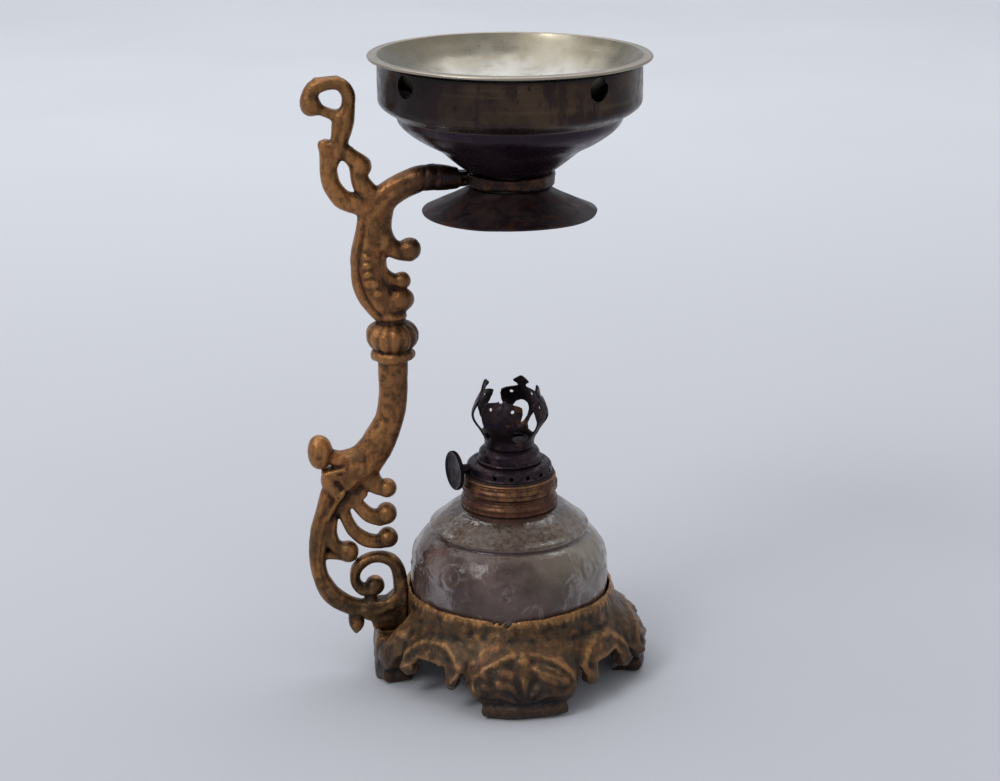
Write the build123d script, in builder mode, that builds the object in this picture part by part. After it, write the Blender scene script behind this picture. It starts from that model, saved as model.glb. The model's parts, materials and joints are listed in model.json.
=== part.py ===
"""Small vaporizer lamp: an oil night lamp in a cast footed base, with a cast scroll
bracket that holds a vaporizing dish over the flame.

Millimetres, +Z up. The lamp's axis is Z, the feet stand on z = 0 and the bracket
rises on the -X side.
"""
from build123d import *
from math import cos, sin, radians
import os

# ---------------------------------------------------------------- driving sizes
PLAY = 0.15                 # gap between pieces that lift off each other
RUNNING = 0.06              # radial clearance of parts that turn or slide in a fit

# cast base
SEAT_R = 26.5               # bore that the glass font drops into
BASE_TOP = 24.3
LEDGE_TOP = 13.1
LEDGE_BORE = 17.0
SKIRT_BOTTOM = 7.8
FOOT_REACH = 37.8
PAD_OUTER = 31.6            # the flat under a foot that touches the table
PAD_INNER = 27.6
FOOT_HALF = 12.3
SOCKET_TOP = 12.2           # top of the bracket foot, where the bracket stands
BRACKET_FLAT_X = -27.0      # flat on the seat wall beside the bracket

# glass font and its collar
NECK_R = 10.9
NECK_BORE = 8.6
NECK_TOP = 49.8
COLLAR_R = 12.1
COLLAR_TOP = 54.8
COLLAR_BOTTOM = 46.2
THREAD_R = 10.8             # bore of the collar where the burner screws in

# burner
GASKET_THICK = 0.5
SHEET = 0.45                # burner sheet metal
SHELL_R = 11.2
DECK_Z = 58.4
CAP_R = 8.0
CAP_TOP = 64.0
WICK_WIDTH = 7.0
WICK_THICK = 1.2
SHAFT_Z = 56.7
SHAFT_R = 0.8
WHEEL_R = 1.6
KNOB_R = 5.3
KNOB_OUT = 14.2             # knob's inner face, along the shaft from the lamp's axis
SHAFT_TURN = 19.0           # degrees the shaft swings from -X towards -Y

# chimney gallery
PRONGS = 4
PRONG_TURN = -113.5         # degrees from +X to the front prong
GALLERY_TIP = 79.4

# bracket
ARM_THICK = 5.8
STEM_X = -30.1
RING_R = 11.7
RING_BORE = 9.5
RING_LOW = 131.8
RING_HIGH = 135.8

# vaporizer
BOWL_R = 33.0
BOWL_RIM = 163.3
SHEET_BOWL = 0.6
PAN_R = 35.6
VENT_R = 2.9
VENT_Z = 160.3
VENT_TURN = -56.0           # degrees from +X to the first vent hole

os.makedirs("parts", exist_ok=True)
PIECES = []


def keep(piece, label):
    """Label a finished piece and write it to its own STEP file."""
    piece.label = label
    export_step(piece, f"parts/{label}.step")
    PIECES.append(piece)


def wall(points, thickness):
    """The other side of a sheet wall: each point moved square to the run through it."""
    moved = []
    for index, point in enumerate(points):
        before = points[max(index - 1, 0)]
        after = points[min(index + 1, len(points) - 1)]
        run = Vector(after[0] - before[0], after[1] - before[1]).normalized()
        moved.append((point[0] - run.Y * thickness, point[1] + run.X * thickness))
    return moved


# ------------------------------------------------------------------ cast base
# One foot: its front outline cut to its side profile, standing at +X.
FOOT_FRONT = [(0, 19.6), (6.2, 18.2), (12.4, 15.0), (16.4, 10.6), (15.6, 7.6)]

with BuildPart() as foot:
    with BuildSketch(Plane.YZ.offset(26)):
        with BuildLine():
            Spline(*FOOT_FRONT)
            Line(FOOT_FRONT[-1], (FOOT_HALF, 6.4))
            Spline((FOOT_HALF, 6.4), (FOOT_HALF + 0.6, 3.0), (FOOT_HALF - 1.2, 0))
            Line((FOOT_HALF - 1.2, 0), (0, 0))
            mirror(about=Plane.YZ)
        make_face()
    extrude(amount=14)
    with BuildSketch(Plane.XZ):
        with BuildLine():
            Spline((27.4, 19.8), (29.6, 17.4), (33.2, 15.0), (36.2, 11.4), (FOOT_REACH, 6.6),
                   (36.8, 3.4), (34.2, 1.3), (PAD_OUTER, 0))
            Line((PAD_OUTER, 0), (PAD_INNER, 0))
            Spline((PAD_INNER, 0), (31.0, 2.8), (32.4, 7.0), (30.6, 11.0), (27.4, 13.4))
            Line((27.4, 13.4), (27.4, 19.8))
        make_face()
    extrude(amount=20, both=True, mode=Mode.INTERSECT)

with BuildPart() as base_casting:
    with BuildSketch(Plane.XZ):
        with BuildLine():
            Polyline((SEAT_R, BASE_TOP), (27.4, BASE_TOP))
            Spline((27.4, BASE_TOP), (27.8, 21.0), (28.8, 18.2), (31.4, 15.6), (33.6, 12.0),
                   (34.4, SKIRT_BOTTOM))
            Line((34.4, SKIRT_BOTTOM), (32.0, SKIRT_BOTTOM))
            Spline((32.0, SKIRT_BOTTOM), (30.8, 10.0), (28.4, 11.1))
            Polyline((28.4, 11.1), (LEDGE_BORE, 11.1), (LEDGE_BORE, LEDGE_TOP), (23.4, LEDGE_TOP))
            Spline((23.4, LEDGE_TOP), (25.5, 14.8), (SEAT_R, 18.0))
            Line((SEAT_R, 18.0), (SEAT_R, BASE_TOP))
        make_face()
    revolve(axis=Axis.Z)
    # arched windows midway between the feet
    for corner in range(4):
        turned = Plane.YZ.rotated((0, 0, 45 + 90 * corner))
        with BuildSketch(turned.offset(27.6)):
            with Locations((0, 10.6)):
                SlotOverall(18, 7.4, rotation=90)
        extrude(amount=12, mode=Mode.SUBTRACT)
    with PolarLocations(0, 4):
        add(foot.part)
    # block inside the bracket foot, with the flat and the socket for the bracket
    with BuildSketch(Plane.XY):
        with Locations((-31.5, 0)):
            Rectangle(9.4, 15)
    extrude(amount=SOCKET_TOP)
    with BuildSketch(Plane.XY.offset(SOCKET_TOP)):
        with Locations((BRACKET_FLAT_X - 10, 0)):
            Rectangle(20, ARM_THICK + 1.6)
    extrude(amount=30, mode=Mode.SUBTRACT)
    with BuildSketch(Plane.XY.offset(4.0)):
        with Locations((-31.7, 0)):
            Rectangle(5.2, 4.8)
    extrude(amount=20, mode=Mode.SUBTRACT)
keep(base_casting.part, "base_casting")

# -------------------------------------------------------------- bracket limbs
# Each scroll limb is a run of (x, z, half width), smooth from one end to the other.
SCROLLS = {
    "outer_frond": [(-46.9, 50.4, 2.8), (-48.9, 44.6, 2.4), (-50.0, 39.6, 2.7), (-50.7, 35.0, 2.3),
                    (-50.8, 30.6, 2.0), (-49.7, 26.0, 2.2), (-46.9, 21.6, 2.5), (-43.0, 18.6, 2.5),
                    (-38.6, 17.6, 2.4), (-34.6, 17.5, 2.4)],
    "tail_drop": [(-41.2, 16.4, 2.1), (-40.9, 13.4, 2.0), (-41.0, 11.4, 1.0)],
    "plate": [(-31.6, 15.2, 2.9), (-30.0, 18.6, 2.7), (-29.2, 23.0, 1.9), (-29.3, 27.0, 1.8),
              (-30.5, 30.2, 1.6), (-33.0, 31.9, 1.5), (-35.9, 32.1, 1.4), (-38.7, 31.1, 1.5),
              (-40.7, 28.6, 1.5), (-40.8, 25.6, 1.4), (-38.9, 23.6, 1.5), (-35.8, 24.0, 2.4)],
    "curl_root": [(-36.6, 22.8, 1.5), (-36.4, 18.4, 1.8)],
    "curl_low": [(-49.6, 35.4, 2.4), (-46.2, 34.4, 2.3), (-42.9, 34.1, 2.9)],
    "curl_third": [(-45.6, 48.2, 2.2), (-43.2, 44.0, 1.5), (-41.3, 40.0, 1.7), (-38.0, 37.2, 1.8),
                   (-34.8, 36.8, 1.9), (-32.2, 37.5, 2.6)],
    "curl_second": [(-43.0, 51.2, 2.6), (-40.0, 48.0, 1.8), (-37.6, 44.8, 1.8), (-35.2, 43.4, 2.1),
                    (-32.5, 44.3, 2.8)],
    "curl_first": [(-38.6, 57.2, 3.2), (-36.4, 54.6, 2.5), (-34.4, 52.3, 1.9), (-32.0, 51.5, 2.4)],
    "knuckle": [(-46.2, 52.0, 2.6), (-46.6, 54.8, 2.7), (-43.0, 57.0, 3.2)],
    "lower_stem": [(-30.2, 80.0, 3.8), (-30.6, 75.0, 3.7), (-31.5, 70.6, 3.7), (-33.6, 66.0, 4.1),
                   (-36.6, 61.6, 4.5), (-39.8, 57.4, 4.6), (-43.2, 53.6, 4.2), (-46.4, 50.4, 3.0)],
    "egg": [(-42.4, 58.6, 2.8), (-46.2, 59.8, 2.3), (-49.2, 61.6, 3.2), (-49.5, 63.2, 3.2)],
    "belly": [(-30.3, 96.0, 3.8), (-30.8, 99.6, 4.0), (-33.4, 103.6, 4.6), (-35.4, 108.2, 4.6),
              (-36.1, 113.2, 4.3), (-35.2, 118.4, 4.4), (-34.4, 123.4, 4.4), (-33.0, 128.2, 4.2)],
    "vase": [(-31.0, 101.4, 3.4), (-27.9, 102.6, 3.5)],
    "small_curl": [(-31.8, 108.6, 2.2), (-29.6, 107.6, 1.6), (-27.6, 107.4, 2.1)],
    "hook": [(-33.0, 119.0, 3.2), (-30.4, 116.4, 2.2), (-27.6, 115.4, 2.0), (-25.3, 115.7, 2.8)],
    "arm": [(-35.4, 126.4, 3.6), (-31.4, 129.6, 3.6), (-27.4, 132.0, 3.3), (-22.6, 133.9, 3.4),
            (-17.6, 134.2, 3.3), (-11.2, 133.8, 2.0)],
    "loop": [(-33.6, 127.4, 3.6), (-38.4, 127.9, 3.0), (-42.4, 129.4, 2.4), (-44.9, 132.8, 2.2),
             (-45.5, 137.0, 2.0), (-44.6, 141.2, 2.6), (-42.4, 145.0, 2.6), (-41.4, 148.6, 2.6),
             (-40.2, 152.4, 1.7), (-40.4, 155.8, 1.6), (-42.4, 158.2, 1.6), (-45.4, 158.5, 1.7),
             (-48.4, 157.2, 2.0), (-50.0, 154.6, 2.2), (-49.4, 152.6, 2.7)],
    "stub": [(-44.8, 139.6, 2.2), (-46.5, 142.6, 1.6)],
    "curl_top": [(-43.2, 142.0, 2.0), (-40.6, 139.9, 1.6), (-37.6, 137.2, 2.7), (-37.5, 133.4, 2.4),
                 (-35.2, 129.8, 2.8)],
}


def limb_sides(nodes):
    """Left side, right side, and the two round ends of a tapering limb."""
    left, right = [], []
    for index, (x, z, half) in enumerate(nodes):
        before = nodes[max(index - 1, 0)]
        after = nodes[min(index + 1, len(nodes) - 1)]
        run = Vector(after[0] - before[0], after[1] - before[1]).normalized()
        left.append((x - run.Y * half, z + run.X * half))
        right.append((x + run.Y * half, z - run.X * half))
        if index == 0:
            tail = (x - run.X * half, z - run.Y * half)
    tip = (x + run.X * half, z + run.Y * half)
    return left, right, tail, tip


with BuildPart() as bracket_arm:
    with BuildSketch(Plane.XZ):
        for nodes in SCROLLS.values():
            left, right, tail, tip = limb_sides(nodes)
            with BuildLine():
                Spline(*left)
                ThreePointArc(left[-1], tip, right[-1])
                Spline(*reversed(right))
                ThreePointArc(right[0], tail, left[0])
            make_face()
    extrude(amount=ARM_THICK / 2, both=True)
    # the round stem, its bead collar and its fluted knop
    with BuildSketch(Plane.XZ.shift_origin((STEM_X, 0, 0))):
        with BuildLine():
            Polyline((0, 78), (3.7, 78), (3.8, 86.8), (5.4, 86.8))
            ThreePointArc((5.4, 86.8), (5.7, 88.1), (5.4, 89.4))
            Spline((5.4, 89.4), (7.2, 92.0), (6.6, 95.0), (3.8, 97.4))
            Polyline((3.8, 97.4), (0, 97.4), (0, 78))
        make_face()
    revolve(axis=Axis((STEM_X, 0, 0), (0, 0, 1)))
    # the ring that carries the vaporizer
    with BuildSketch(Plane.XY.offset(RING_LOW)):
        Circle(RING_R)
    extrude(amount=RING_HIGH - RING_LOW)
    with BuildSketch(Plane.XY.offset(RING_LOW - 5)):
        Circle(RING_BORE)
    extrude(amount=15, mode=Mode.SUBTRACT)
    # the tenon that drops into the base's socket
    with BuildSketch(Plane.XY.offset(4.3)):
        with Locations((-31.7, 0)):
            Rectangle(4.8, 4.4)
    extrude(amount=10)
keep(bracket_arm.part, "bracket_arm")

# ----------------------------------------------------------------- glass font
SHOULDER = [(12.9, 46.9), (15.2, 45.5), (17.7, 43.6), (20.0, 40.9)]
FLANK = [(20.4, 40.1), (23.0, 37.8), (25.1, 34.2), (26.2, 29.0), (26.0, 22.6), (24.8, 17.2),
         (22.4, 14.3), (19.6, 13.3)]
FONT_FOOT = LEDGE_TOP + PLAY

with BuildPart() as glass_font:
    with BuildSketch(Plane.XZ):
        with BuildLine():
            Polyline((NECK_BORE, NECK_TOP), (NECK_R, NECK_TOP), (NECK_R, 46.1), (12.9, 46.1))
            Line((12.9, 46.1), SHOULDER[1])
            Spline(*SHOULDER[1:])
            Line(SHOULDER[-1], FLANK[0])
            Spline(*FLANK)
            Polyline(FLANK[-1], (18.6, FONT_FOOT), (16.0, FONT_FOOT), (13.0, 14.2), (0, 14.2))
            Polyline((0, 14.2), (0, 17.0), (17.0, 17.0))
            Spline((17.0, 17.0), (21.6, 18.6), (23.4, 23.0), (23.8, 28.4), (22.6, 33.4), (19.6, 37.6),
                   (14.6, 41.6), (NECK_BORE, 44.6))
            Line((NECK_BORE, 44.6), (NECK_BORE, NECK_TOP))
        make_face()
    revolve(axis=Axis.Z)
keep(glass_font.part, "glass_font")

with BuildPart() as font_collar:
    with BuildSketch(Plane.XZ):
        with BuildLine():
            Line((THREAD_R, COLLAR_TOP), (12.0, COLLAR_TOP))
            ThreePointArc((12.0, COLLAR_TOP), (12.2, 54.5), (12.0, 54.2))
            Line((12.0, 54.2), (COLLAR_R, 53.8))
            ThreePointArc((COLLAR_R, 53.8), (12.7, 51.9), (COLLAR_R, 49.9))
            Line((COLLAR_R, 49.9), (COLLAR_R, 49.6))
            ThreePointArc((COLLAR_R, 49.6), (12.8, 47.8), (12.4, COLLAR_BOTTOM))
            Polyline((12.4, COLLAR_BOTTOM), (11.9, COLLAR_BOTTOM), (11.9, 50.2), (THREAD_R, 50.2),
                     (THREAD_R, COLLAR_TOP))
        make_face()
    revolve(axis=Axis.Z)
keep(font_collar.part, "font_collar")

with BuildPart() as collar_plaster:
    with BuildSketch(Plane.XY.offset(COLLAR_BOTTOM)):
        Circle(11.9)
        Circle(NECK_R, mode=Mode.SUBTRACT)
    extrude(amount=50.2 - COLLAR_BOTTOM)
keep(collar_plaster.part, "collar_plaster")

# ------------------------------------------------------------- burner, turned
GASKET_LOW = COLLAR_TOP + 0.05
SHELL_LOW = GASKET_LOW + GASKET_THICK + 0.05
SKIRT_R = THREAD_R - RUNNING
SKIRT_LOW = 50.6

with BuildPart() as burner_gasket:
    with BuildSketch(Plane.XY.offset(GASKET_LOW)):
        Circle(11.8)
        Circle(10.95, mode=Mode.SUBTRACT)
    extrude(amount=GASKET_THICK)
keep(burner_gasket.part, "burner_gasket")

# the shaft's own plane: its x runs out along the shaft, its y is square to it
SHAFT_OFFSET = WHEEL_R + WICK_THICK / 2 + 0.05
OUT = Vector(-cos(radians(SHAFT_TURN)), -sin(radians(SHAFT_TURN)), 0)
SIDE = Vector(-sin(radians(SHAFT_TURN)), cos(radians(SHAFT_TURN)), 0)
WICK_PLANE = Plane(origin=(0, 0, 0), x_dir=OUT, z_dir=(0, 0, 1))
SHAFT_PLANE = Plane(origin=SIDE * SHAFT_OFFSET + Vector(0, 0, SHAFT_Z), x_dir=(0, 0, 1), z_dir=OUT)
SIDE_SIGN = 1 if WICK_PLANE.to_local_coords(SIDE).Y > 0 else -1
BUSH_R = 1.25

with BuildPart() as burner_shell:
    with BuildSketch(Plane.XZ):
        with BuildLine():
            Polyline((SKIRT_R - SHEET, SKIRT_LOW), (SKIRT_R, SKIRT_LOW), (SKIRT_R, SHELL_LOW),
                     (11.6, SHELL_LOW), (11.6, SHELL_LOW + 0.4), (SHELL_R, SHELL_LOW + 0.5),
                     (SHELL_R, 56.9))
            ThreePointArc((SHELL_R, 56.9), (10.8, 58.0), (9.8, DECK_Z))
            Polyline((9.8, DECK_Z), (6.4, DECK_Z), (6.4, DECK_Z - SHEET), (9.7, DECK_Z - SHEET))
            ThreePointArc((9.7, DECK_Z - SHEET), (10.4, 57.6), (SHELL_R - SHEET, 56.8))
            Polyline((SHELL_R - SHEET, 56.8), (SHELL_R - SHEET, SHELL_LOW + 0.6),
                     (SKIRT_R - SHEET, SHELL_LOW + 0.4), (SKIRT_R - SHEET, SKIRT_LOW))
        make_face()
    revolve(axis=Axis.Z)
    with BuildSketch(SHAFT_PLANE.offset(6)):
        Circle(BUSH_R)
    extrude(amount=8, mode=Mode.SUBTRACT)
    # air holes round the shell
    for index in range(2, 15):
        angle = SHAFT_TURN + 180 + index * 360 / 16
        with BuildSketch(Plane.YZ.rotated((0, 0, angle)).offset(8)):
            with Locations((0, 56.6)):
                Circle(0.55)
        extrude(amount=6, mode=Mode.SUBTRACT)
keep(burner_shell.part, "burner_shell")

with BuildPart() as shaft_bush:
    with BuildSketch(SHAFT_PLANE.offset(10.4)):
        Circle(BUSH_R)
        Circle(SHAFT_R + RUNNING, mode=Mode.SUBTRACT)
    extrude(amount=2.4)
keep(shaft_bush.part, "shaft_bush")

TUBE_LENGTH = WICK_WIDTH + 1.4
TUBE_WIDTH = WICK_THICK + 1.4
WHEEL_AT = (-1.9, 1.9)

with BuildPart() as tube_plate:
    with BuildSketch(WICK_PLANE.offset(SKIRT_LOW)):
        Circle(SKIRT_R - SHEET)
        SlotOverall(TUBE_LENGTH, TUBE_WIDTH, mode=Mode.SUBTRACT)
        with Locations((0, -6 * SIDE_SIGN)):
            Circle(0.8, mode=Mode.SUBTRACT)
    extrude(amount=0.5)
keep(tube_plate.part, "tube_plate")

with BuildPart() as wick_tube:
    with BuildSketch(WICK_PLANE.offset(42)):
        SlotOverall(TUBE_LENGTH, TUBE_WIDTH)
        SlotOverall(WICK_WIDTH + 0.6, WICK_THICK + 0.6, mode=Mode.SUBTRACT)
    extrude(amount=20.6)
    # windows where the wheels reach the wick
    with BuildSketch(WICK_PLANE.offset(SHAFT_Z - 1.8)):
        with Locations(*[(x, SIDE_SIGN * 1.4) for x in WHEEL_AT]):
            Rectangle(1.5, 1.4)
    extrude(amount=3.6, mode=Mode.SUBTRACT)
keep(wick_tube.part, "wick_tube")

with BuildPart() as wheel_housing:
    with BuildSketch(WICK_PLANE.offset(SHAFT_Z - 1.8)):
        with Locations((0, SIDE_SIGN * 3.0)):
            Rectangle(7.0, 3.4)
        with Locations((0, SIDE_SIGN * 2.7)):
            Rectangle(6.2, 3.4, mode=Mode.SUBTRACT)
    extrude(amount=3.4)
    with BuildSketch(SHAFT_PLANE.offset(-5)):
        Circle(SHAFT_R + RUNNING)
    extrude(amount=10, mode=Mode.SUBTRACT)
keep(wheel_housing.part, "wheel_housing")

with BuildPart() as air_screen:
    with BuildSketch(WICK_PLANE.offset(DECK_Z)):
        Circle(CAP_R - SHEET - 0.05)
        SlotOverall(TUBE_LENGTH, TUBE_WIDTH, mode=Mode.SUBTRACT)
        with PolarLocations(5.9, 16):
            Circle(0.5, mode=Mode.SUBTRACT)
        with Locations(*[(x, y) for x in (-3, -1.5, 0, 1.5, 3) for y in (-2.6, 2.6)]):
            Circle(0.45, mode=Mode.SUBTRACT)
    extrude(amount=0.3)
keep(air_screen.part, "air_screen")

with BuildPart() as burner_cap:
    with BuildSketch(Plane.XZ):
        with BuildLine():
            Polyline((CAP_R - SHEET, DECK_Z), (CAP_R + 0.3, DECK_Z), (CAP_R, DECK_Z + 0.4), (CAP_R, 60.3))
            ThreePointArc((CAP_R, 60.3), (7.5, 61.8), (6.0, 62.4))
            Line((6.0, 62.4), (6.0, CAP_TOP - 0.6))
            ThreePointArc((6.0, CAP_TOP - 0.6), (4.8, CAP_TOP + 0.3), (2.2, CAP_TOP + 0.7))
            Polyline((2.2, CAP_TOP + 0.7), (0, CAP_TOP + 0.7), (0, CAP_TOP + 0.25), (2.2, CAP_TOP + 0.25))
            ThreePointArc((2.2, CAP_TOP + 0.25), (4.5, CAP_TOP - 0.2), (5.55, CAP_TOP - 0.9))
            Line((5.55, CAP_TOP - 0.9), (5.55, 62.2))
            ThreePointArc((5.55, 62.2), (7.0, 61.5), (CAP_R - SHEET, 60.2))
            Line((CAP_R - SHEET, 60.2), (CAP_R - SHEET, DECK_Z))
        make_face()
    revolve(axis=Axis.Z)
    # the flame slot over the wick
    with BuildSketch(WICK_PLANE.offset(62.6)):
        SlotOverall(9.4, 3.4)
    extrude(amount=4, mode=Mode.SUBTRACT)
keep(burner_cap.part, "burner_cap")

with BuildPart() as wick:
    with BuildSketch(WICK_PLANE.offset(22)):
        Rectangle(WICK_WIDTH, WICK_THICK)
    extrude(amount=40.9)
keep(wick.part, "wick")

# --------------------------------------------------------- burner, wick drive
with BuildPart() as wick_shaft:
    with BuildSketch(SHAFT_PLANE.offset(-3.9)):
        Circle(SHAFT_R)
    extrude(amount=KNOB_OUT + 3.9)
keep(wick_shaft.part, "wick_shaft")

with BuildPart() as wick_wheels:
    for place in WHEEL_AT:
        with BuildSketch(SHAFT_PLANE.offset(place - 0.4)):
            Circle(WHEEL_R - 0.5)
            with PolarLocations(WHEEL_R - 0.55, 10):
                Rectangle(1.1, 0.45)
            Circle(SHAFT_R, mode=Mode.SUBTRACT)
        extrude(amount=0.8)
keep(wick_wheels.part, "wick_wheels")

with BuildPart() as wick_knob:
    with BuildSketch(SHAFT_PLANE.offset(KNOB_OUT)):
        Circle(KNOB_R - 0.15)
        with PolarLocations(KNOB_R - 0.3, 48):
            Circle(0.2)
    extrude(amount=1.0)
    with BuildSketch(SHAFT_PLANE.offset(KNOB_OUT - 0.6)):
        Circle(1.7)
    extrude(amount=0.6)
    with BuildSketch(SHAFT_PLANE.offset(KNOB_OUT - 0.6)):
        Circle(SHAFT_R)
    extrude(amount=0.6, mode=Mode.SUBTRACT)
keep(wick_knob.part, "wick_knob")

# ------------------------------------------------------------ chimney gallery
PRONG_WALL = 0.4
PRONG_LINE = [(6.4, 64.6), (7.6, 66.6), (9.6, 69.4), (10.0, 71.4), (9.0, 74.2), (7.8, 76.6), (7.1, GALLERY_TIP)]

with BuildPart() as chimney_gallery:
    with BuildSketch(Plane.XZ):
        inside = wall(PRONG_LINE, PRONG_WALL)
        with BuildLine():
            Polyline((6.0, 62.5), (6.4, 62.5), PRONG_LINE[0])
            Spline(*PRONG_LINE)
            Line(PRONG_LINE[-1], inside[-1])
            Spline(*reversed(inside))
            Line(inside[0], (6.0, 62.5))
        make_face()
    revolve(axis=Axis.Z)
    for index in range(PRONGS):
        prong = Plane.YZ.rotated((0, 0, PRONG_TURN + index * 360 / PRONGS))
        gap = Plane.YZ.rotated((0, 0, PRONG_TURN + (index + 0.5) * 360 / PRONGS))
        # the space between two prongs, down to the base ring
        with BuildSketch(gap):
            with BuildLine():
                Spline((0, 65.0), (1.7, 66.4), (2.4, 69.2), (2.4, 72.0))
                Polyline((2.4, 72.0), (2.2, 75.4), (2.2, GALLERY_TIP + 1), (0, GALLERY_TIP + 1))
                mirror(about=Plane.YZ)
            make_face()
        extrude(amount=14, mode=Mode.SUBTRACT)
        # the arched window between a prong's two legs
        with BuildSketch(prong):
            with BuildLine():
                Line((-1.7, 66.2), (1.7, 66.2))
                Spline((1.7, 66.2), (2.6, 69.4), (0, 71.8), (-2.6, 69.4), (-1.7, 66.2))
            make_face()
            # pinholes in the upper corners of its body
            with Locations((-2.9, 74.2), (2.9, 74.2)):
                Circle(0.4)
        extrude(amount=14, mode=Mode.SUBTRACT)
        # its sloping shoulders, the neck and the spade tip
        with BuildSketch(prong):
            with BuildLine():
                Polyline((6.2, 74.6), (4.4, 75.2), (1.2, 76.4), (1.2, 76.9), (2.3, 77.8),
                         (0.3, GALLERY_TIP + 0.1), (6.2, GALLERY_TIP + 1), (6.2, 74.6))
            make_face()
            mirror(about=Plane.YZ)
        extrude(amount=14, mode=Mode.SUBTRACT)
keep(chimney_gallery.part, "chimney_gallery")

# ------------------------------------------------------------------ vaporizer
THROAT_R = RING_BORE - RUNNING
BOWL_LOW = RING_HIGH + PLAY
BOWL_BELL = [(11.0, BOWL_LOW), (12.9, 137.2), (15.4, 139.2), (18.2, 141.5), (22.2, 143.6), (25.7, 146.0),
             (27.7, 148.0), (28.6, 150.0)]

with BuildPart() as vapor_bowl:
    with BuildSketch(Plane.XZ):
        inside = wall(BOWL_BELL, SHEET_BOWL)
        with BuildLine():
            Line((THROAT_R, BOWL_LOW), BOWL_BELL[0])
            Spline(*BOWL_BELL)
            Polyline(BOWL_BELL[-1], (29.2, 150.3), (32.4, 152.6))
            ThreePointArc((32.4, 152.6), (32.85, 153.0), (BOWL_R, 153.6))
            Polyline((BOWL_R, 153.6), (BOWL_R, BOWL_RIM), (BOWL_R - SHEET_BOWL, BOWL_RIM),
                     (BOWL_R - SHEET_BOWL, 153.6))
            Polyline((BOWL_R - SHEET_BOWL, 153.6), (32.1, 153.2), (29.0, 151.0), inside[-1])
            Spline(*reversed(inside))
            Polyline(inside[0], (THROAT_R, BOWL_LOW + SHEET_BOWL), (THROAT_R, BOWL_LOW))
        make_face()
    revolve(axis=Axis.Z)
    for index in range(4):
        with BuildSketch(Plane.YZ.rotated((0, 0, VENT_TURN + 90 * index))):
            with Locations((0, VENT_Z)):
                Circle(VENT_R)
        extrude(amount=40, mode=Mode.SUBTRACT)
keep(vapor_bowl.part, "vapor_bowl")

FLARE = [(10.4, RING_LOW - PLAY), (11.9, 130.3), (14.5, 128.9), (18.0, 127.3), (22.4, 125.4)]
SHEET_FLARE = 0.5

with BuildPart() as heat_flare:
    with BuildSketch(Plane.XZ):
        inside = wall(FLARE, -SHEET_FLARE)
        lip = BOWL_LOW + SHEET_BOWL
        with BuildLine():
            Polyline((THROAT_R, lip), (THROAT_R, FLARE[0][1]), FLARE[0])
            Spline(*FLARE)
            Line(FLARE[-1], inside[-1])
            Spline(*reversed(inside))
            Polyline(inside[0], (THROAT_R - SHEET_FLARE, 130.4), (THROAT_R - SHEET_FLARE, lip + 0.5),
                     (10.6, lip + 0.5), (10.6, lip), (THROAT_R, lip))
        make_face()
    revolve(axis=Axis.Z)
keep(heat_flare.part, "heat_flare")

PAN_FLOOR = 153.0
PAN_SHEET = 0.5
DISH = [(32.1, 164.2), (31.2, 161.8), (28.4, 158.6), (23.4, 155.4), (16.0, 153.5), (0, PAN_FLOOR)]

with BuildPart() as vapor_pan:
    with BuildSketch(Plane.XZ):
        upper = [(r, z + PAN_SHEET) for r, z in DISH]
        with BuildLine():
            Line((34.6, BOWL_RIM + PLAY + 0.75), DISH[0])
            Spline(*DISH, tangents=[(-0.4, -1), (-1, 0)])
            Line(DISH[-1], upper[-1])
            Spline(*reversed(upper), tangents=[(1, 0), (0.4, 1)])
            Line(upper[0], (34.6, 164.85))
            ThreePointArc((34.6, 164.85), (PAN_R, 164.75), (34.6, BOWL_RIM + PLAY + 0.75))
        make_face()
    revolve(axis=Axis.Z)
keep(vapor_pan.part, "vapor_pan")

print(len(PIECES), "pieces written")
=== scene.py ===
"""Looks of the vaporizer lamp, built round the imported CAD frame.

Shapes are worked out in millimetres in the lamp's own frame (axis on Z, bracket on -X) and
scaled to metres when each mesh is made.
"""
import json
import math

import bpy
import numpy as np
import openvdb
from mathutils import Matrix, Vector


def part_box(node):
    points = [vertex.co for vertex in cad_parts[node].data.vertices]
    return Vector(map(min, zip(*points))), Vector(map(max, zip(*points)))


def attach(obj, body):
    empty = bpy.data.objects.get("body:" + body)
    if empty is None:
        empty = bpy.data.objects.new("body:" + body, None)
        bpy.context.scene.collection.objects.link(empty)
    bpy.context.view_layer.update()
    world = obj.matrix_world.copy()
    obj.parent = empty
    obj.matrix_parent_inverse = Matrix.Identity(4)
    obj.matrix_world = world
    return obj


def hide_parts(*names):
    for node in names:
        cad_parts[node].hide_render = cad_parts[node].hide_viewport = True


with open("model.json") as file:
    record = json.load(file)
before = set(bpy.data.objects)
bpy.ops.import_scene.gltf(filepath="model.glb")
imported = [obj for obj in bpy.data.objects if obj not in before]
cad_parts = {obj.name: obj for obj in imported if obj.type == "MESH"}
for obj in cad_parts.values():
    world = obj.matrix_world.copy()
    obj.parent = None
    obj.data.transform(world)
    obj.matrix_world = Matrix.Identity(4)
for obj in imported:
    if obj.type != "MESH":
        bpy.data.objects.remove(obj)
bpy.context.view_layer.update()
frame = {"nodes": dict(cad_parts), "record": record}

MM = 0.001
QUARTER = np.pi / 2
FACES = (-1, 1)             # the bracket's back and front
STEM_X = -30.1              # the bracket's stem
RING_Z = 133.8              # the bracket's ring
TENON_X = -31.7             # the bracket's tenon and its socket in the base
WALL_R = 34.0               # the base's wall, as the radius that lengths along it are measured at
MIDWAY = 26.7               # from the middle of a foot to the middle of the next arch
RIM_BEADS = 84
BELLY_R = 26.0              # the glass at its widest
GARLAND_WAVES = 18
ROSETTE_TURN = 0.72
MILLING_TEETH = 54


def box_mm(node):
    """A CAD node's lowest and highest corners, in millimetres."""
    low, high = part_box(node)
    return np.array(low) / MM, np.array(high) / MM


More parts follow.
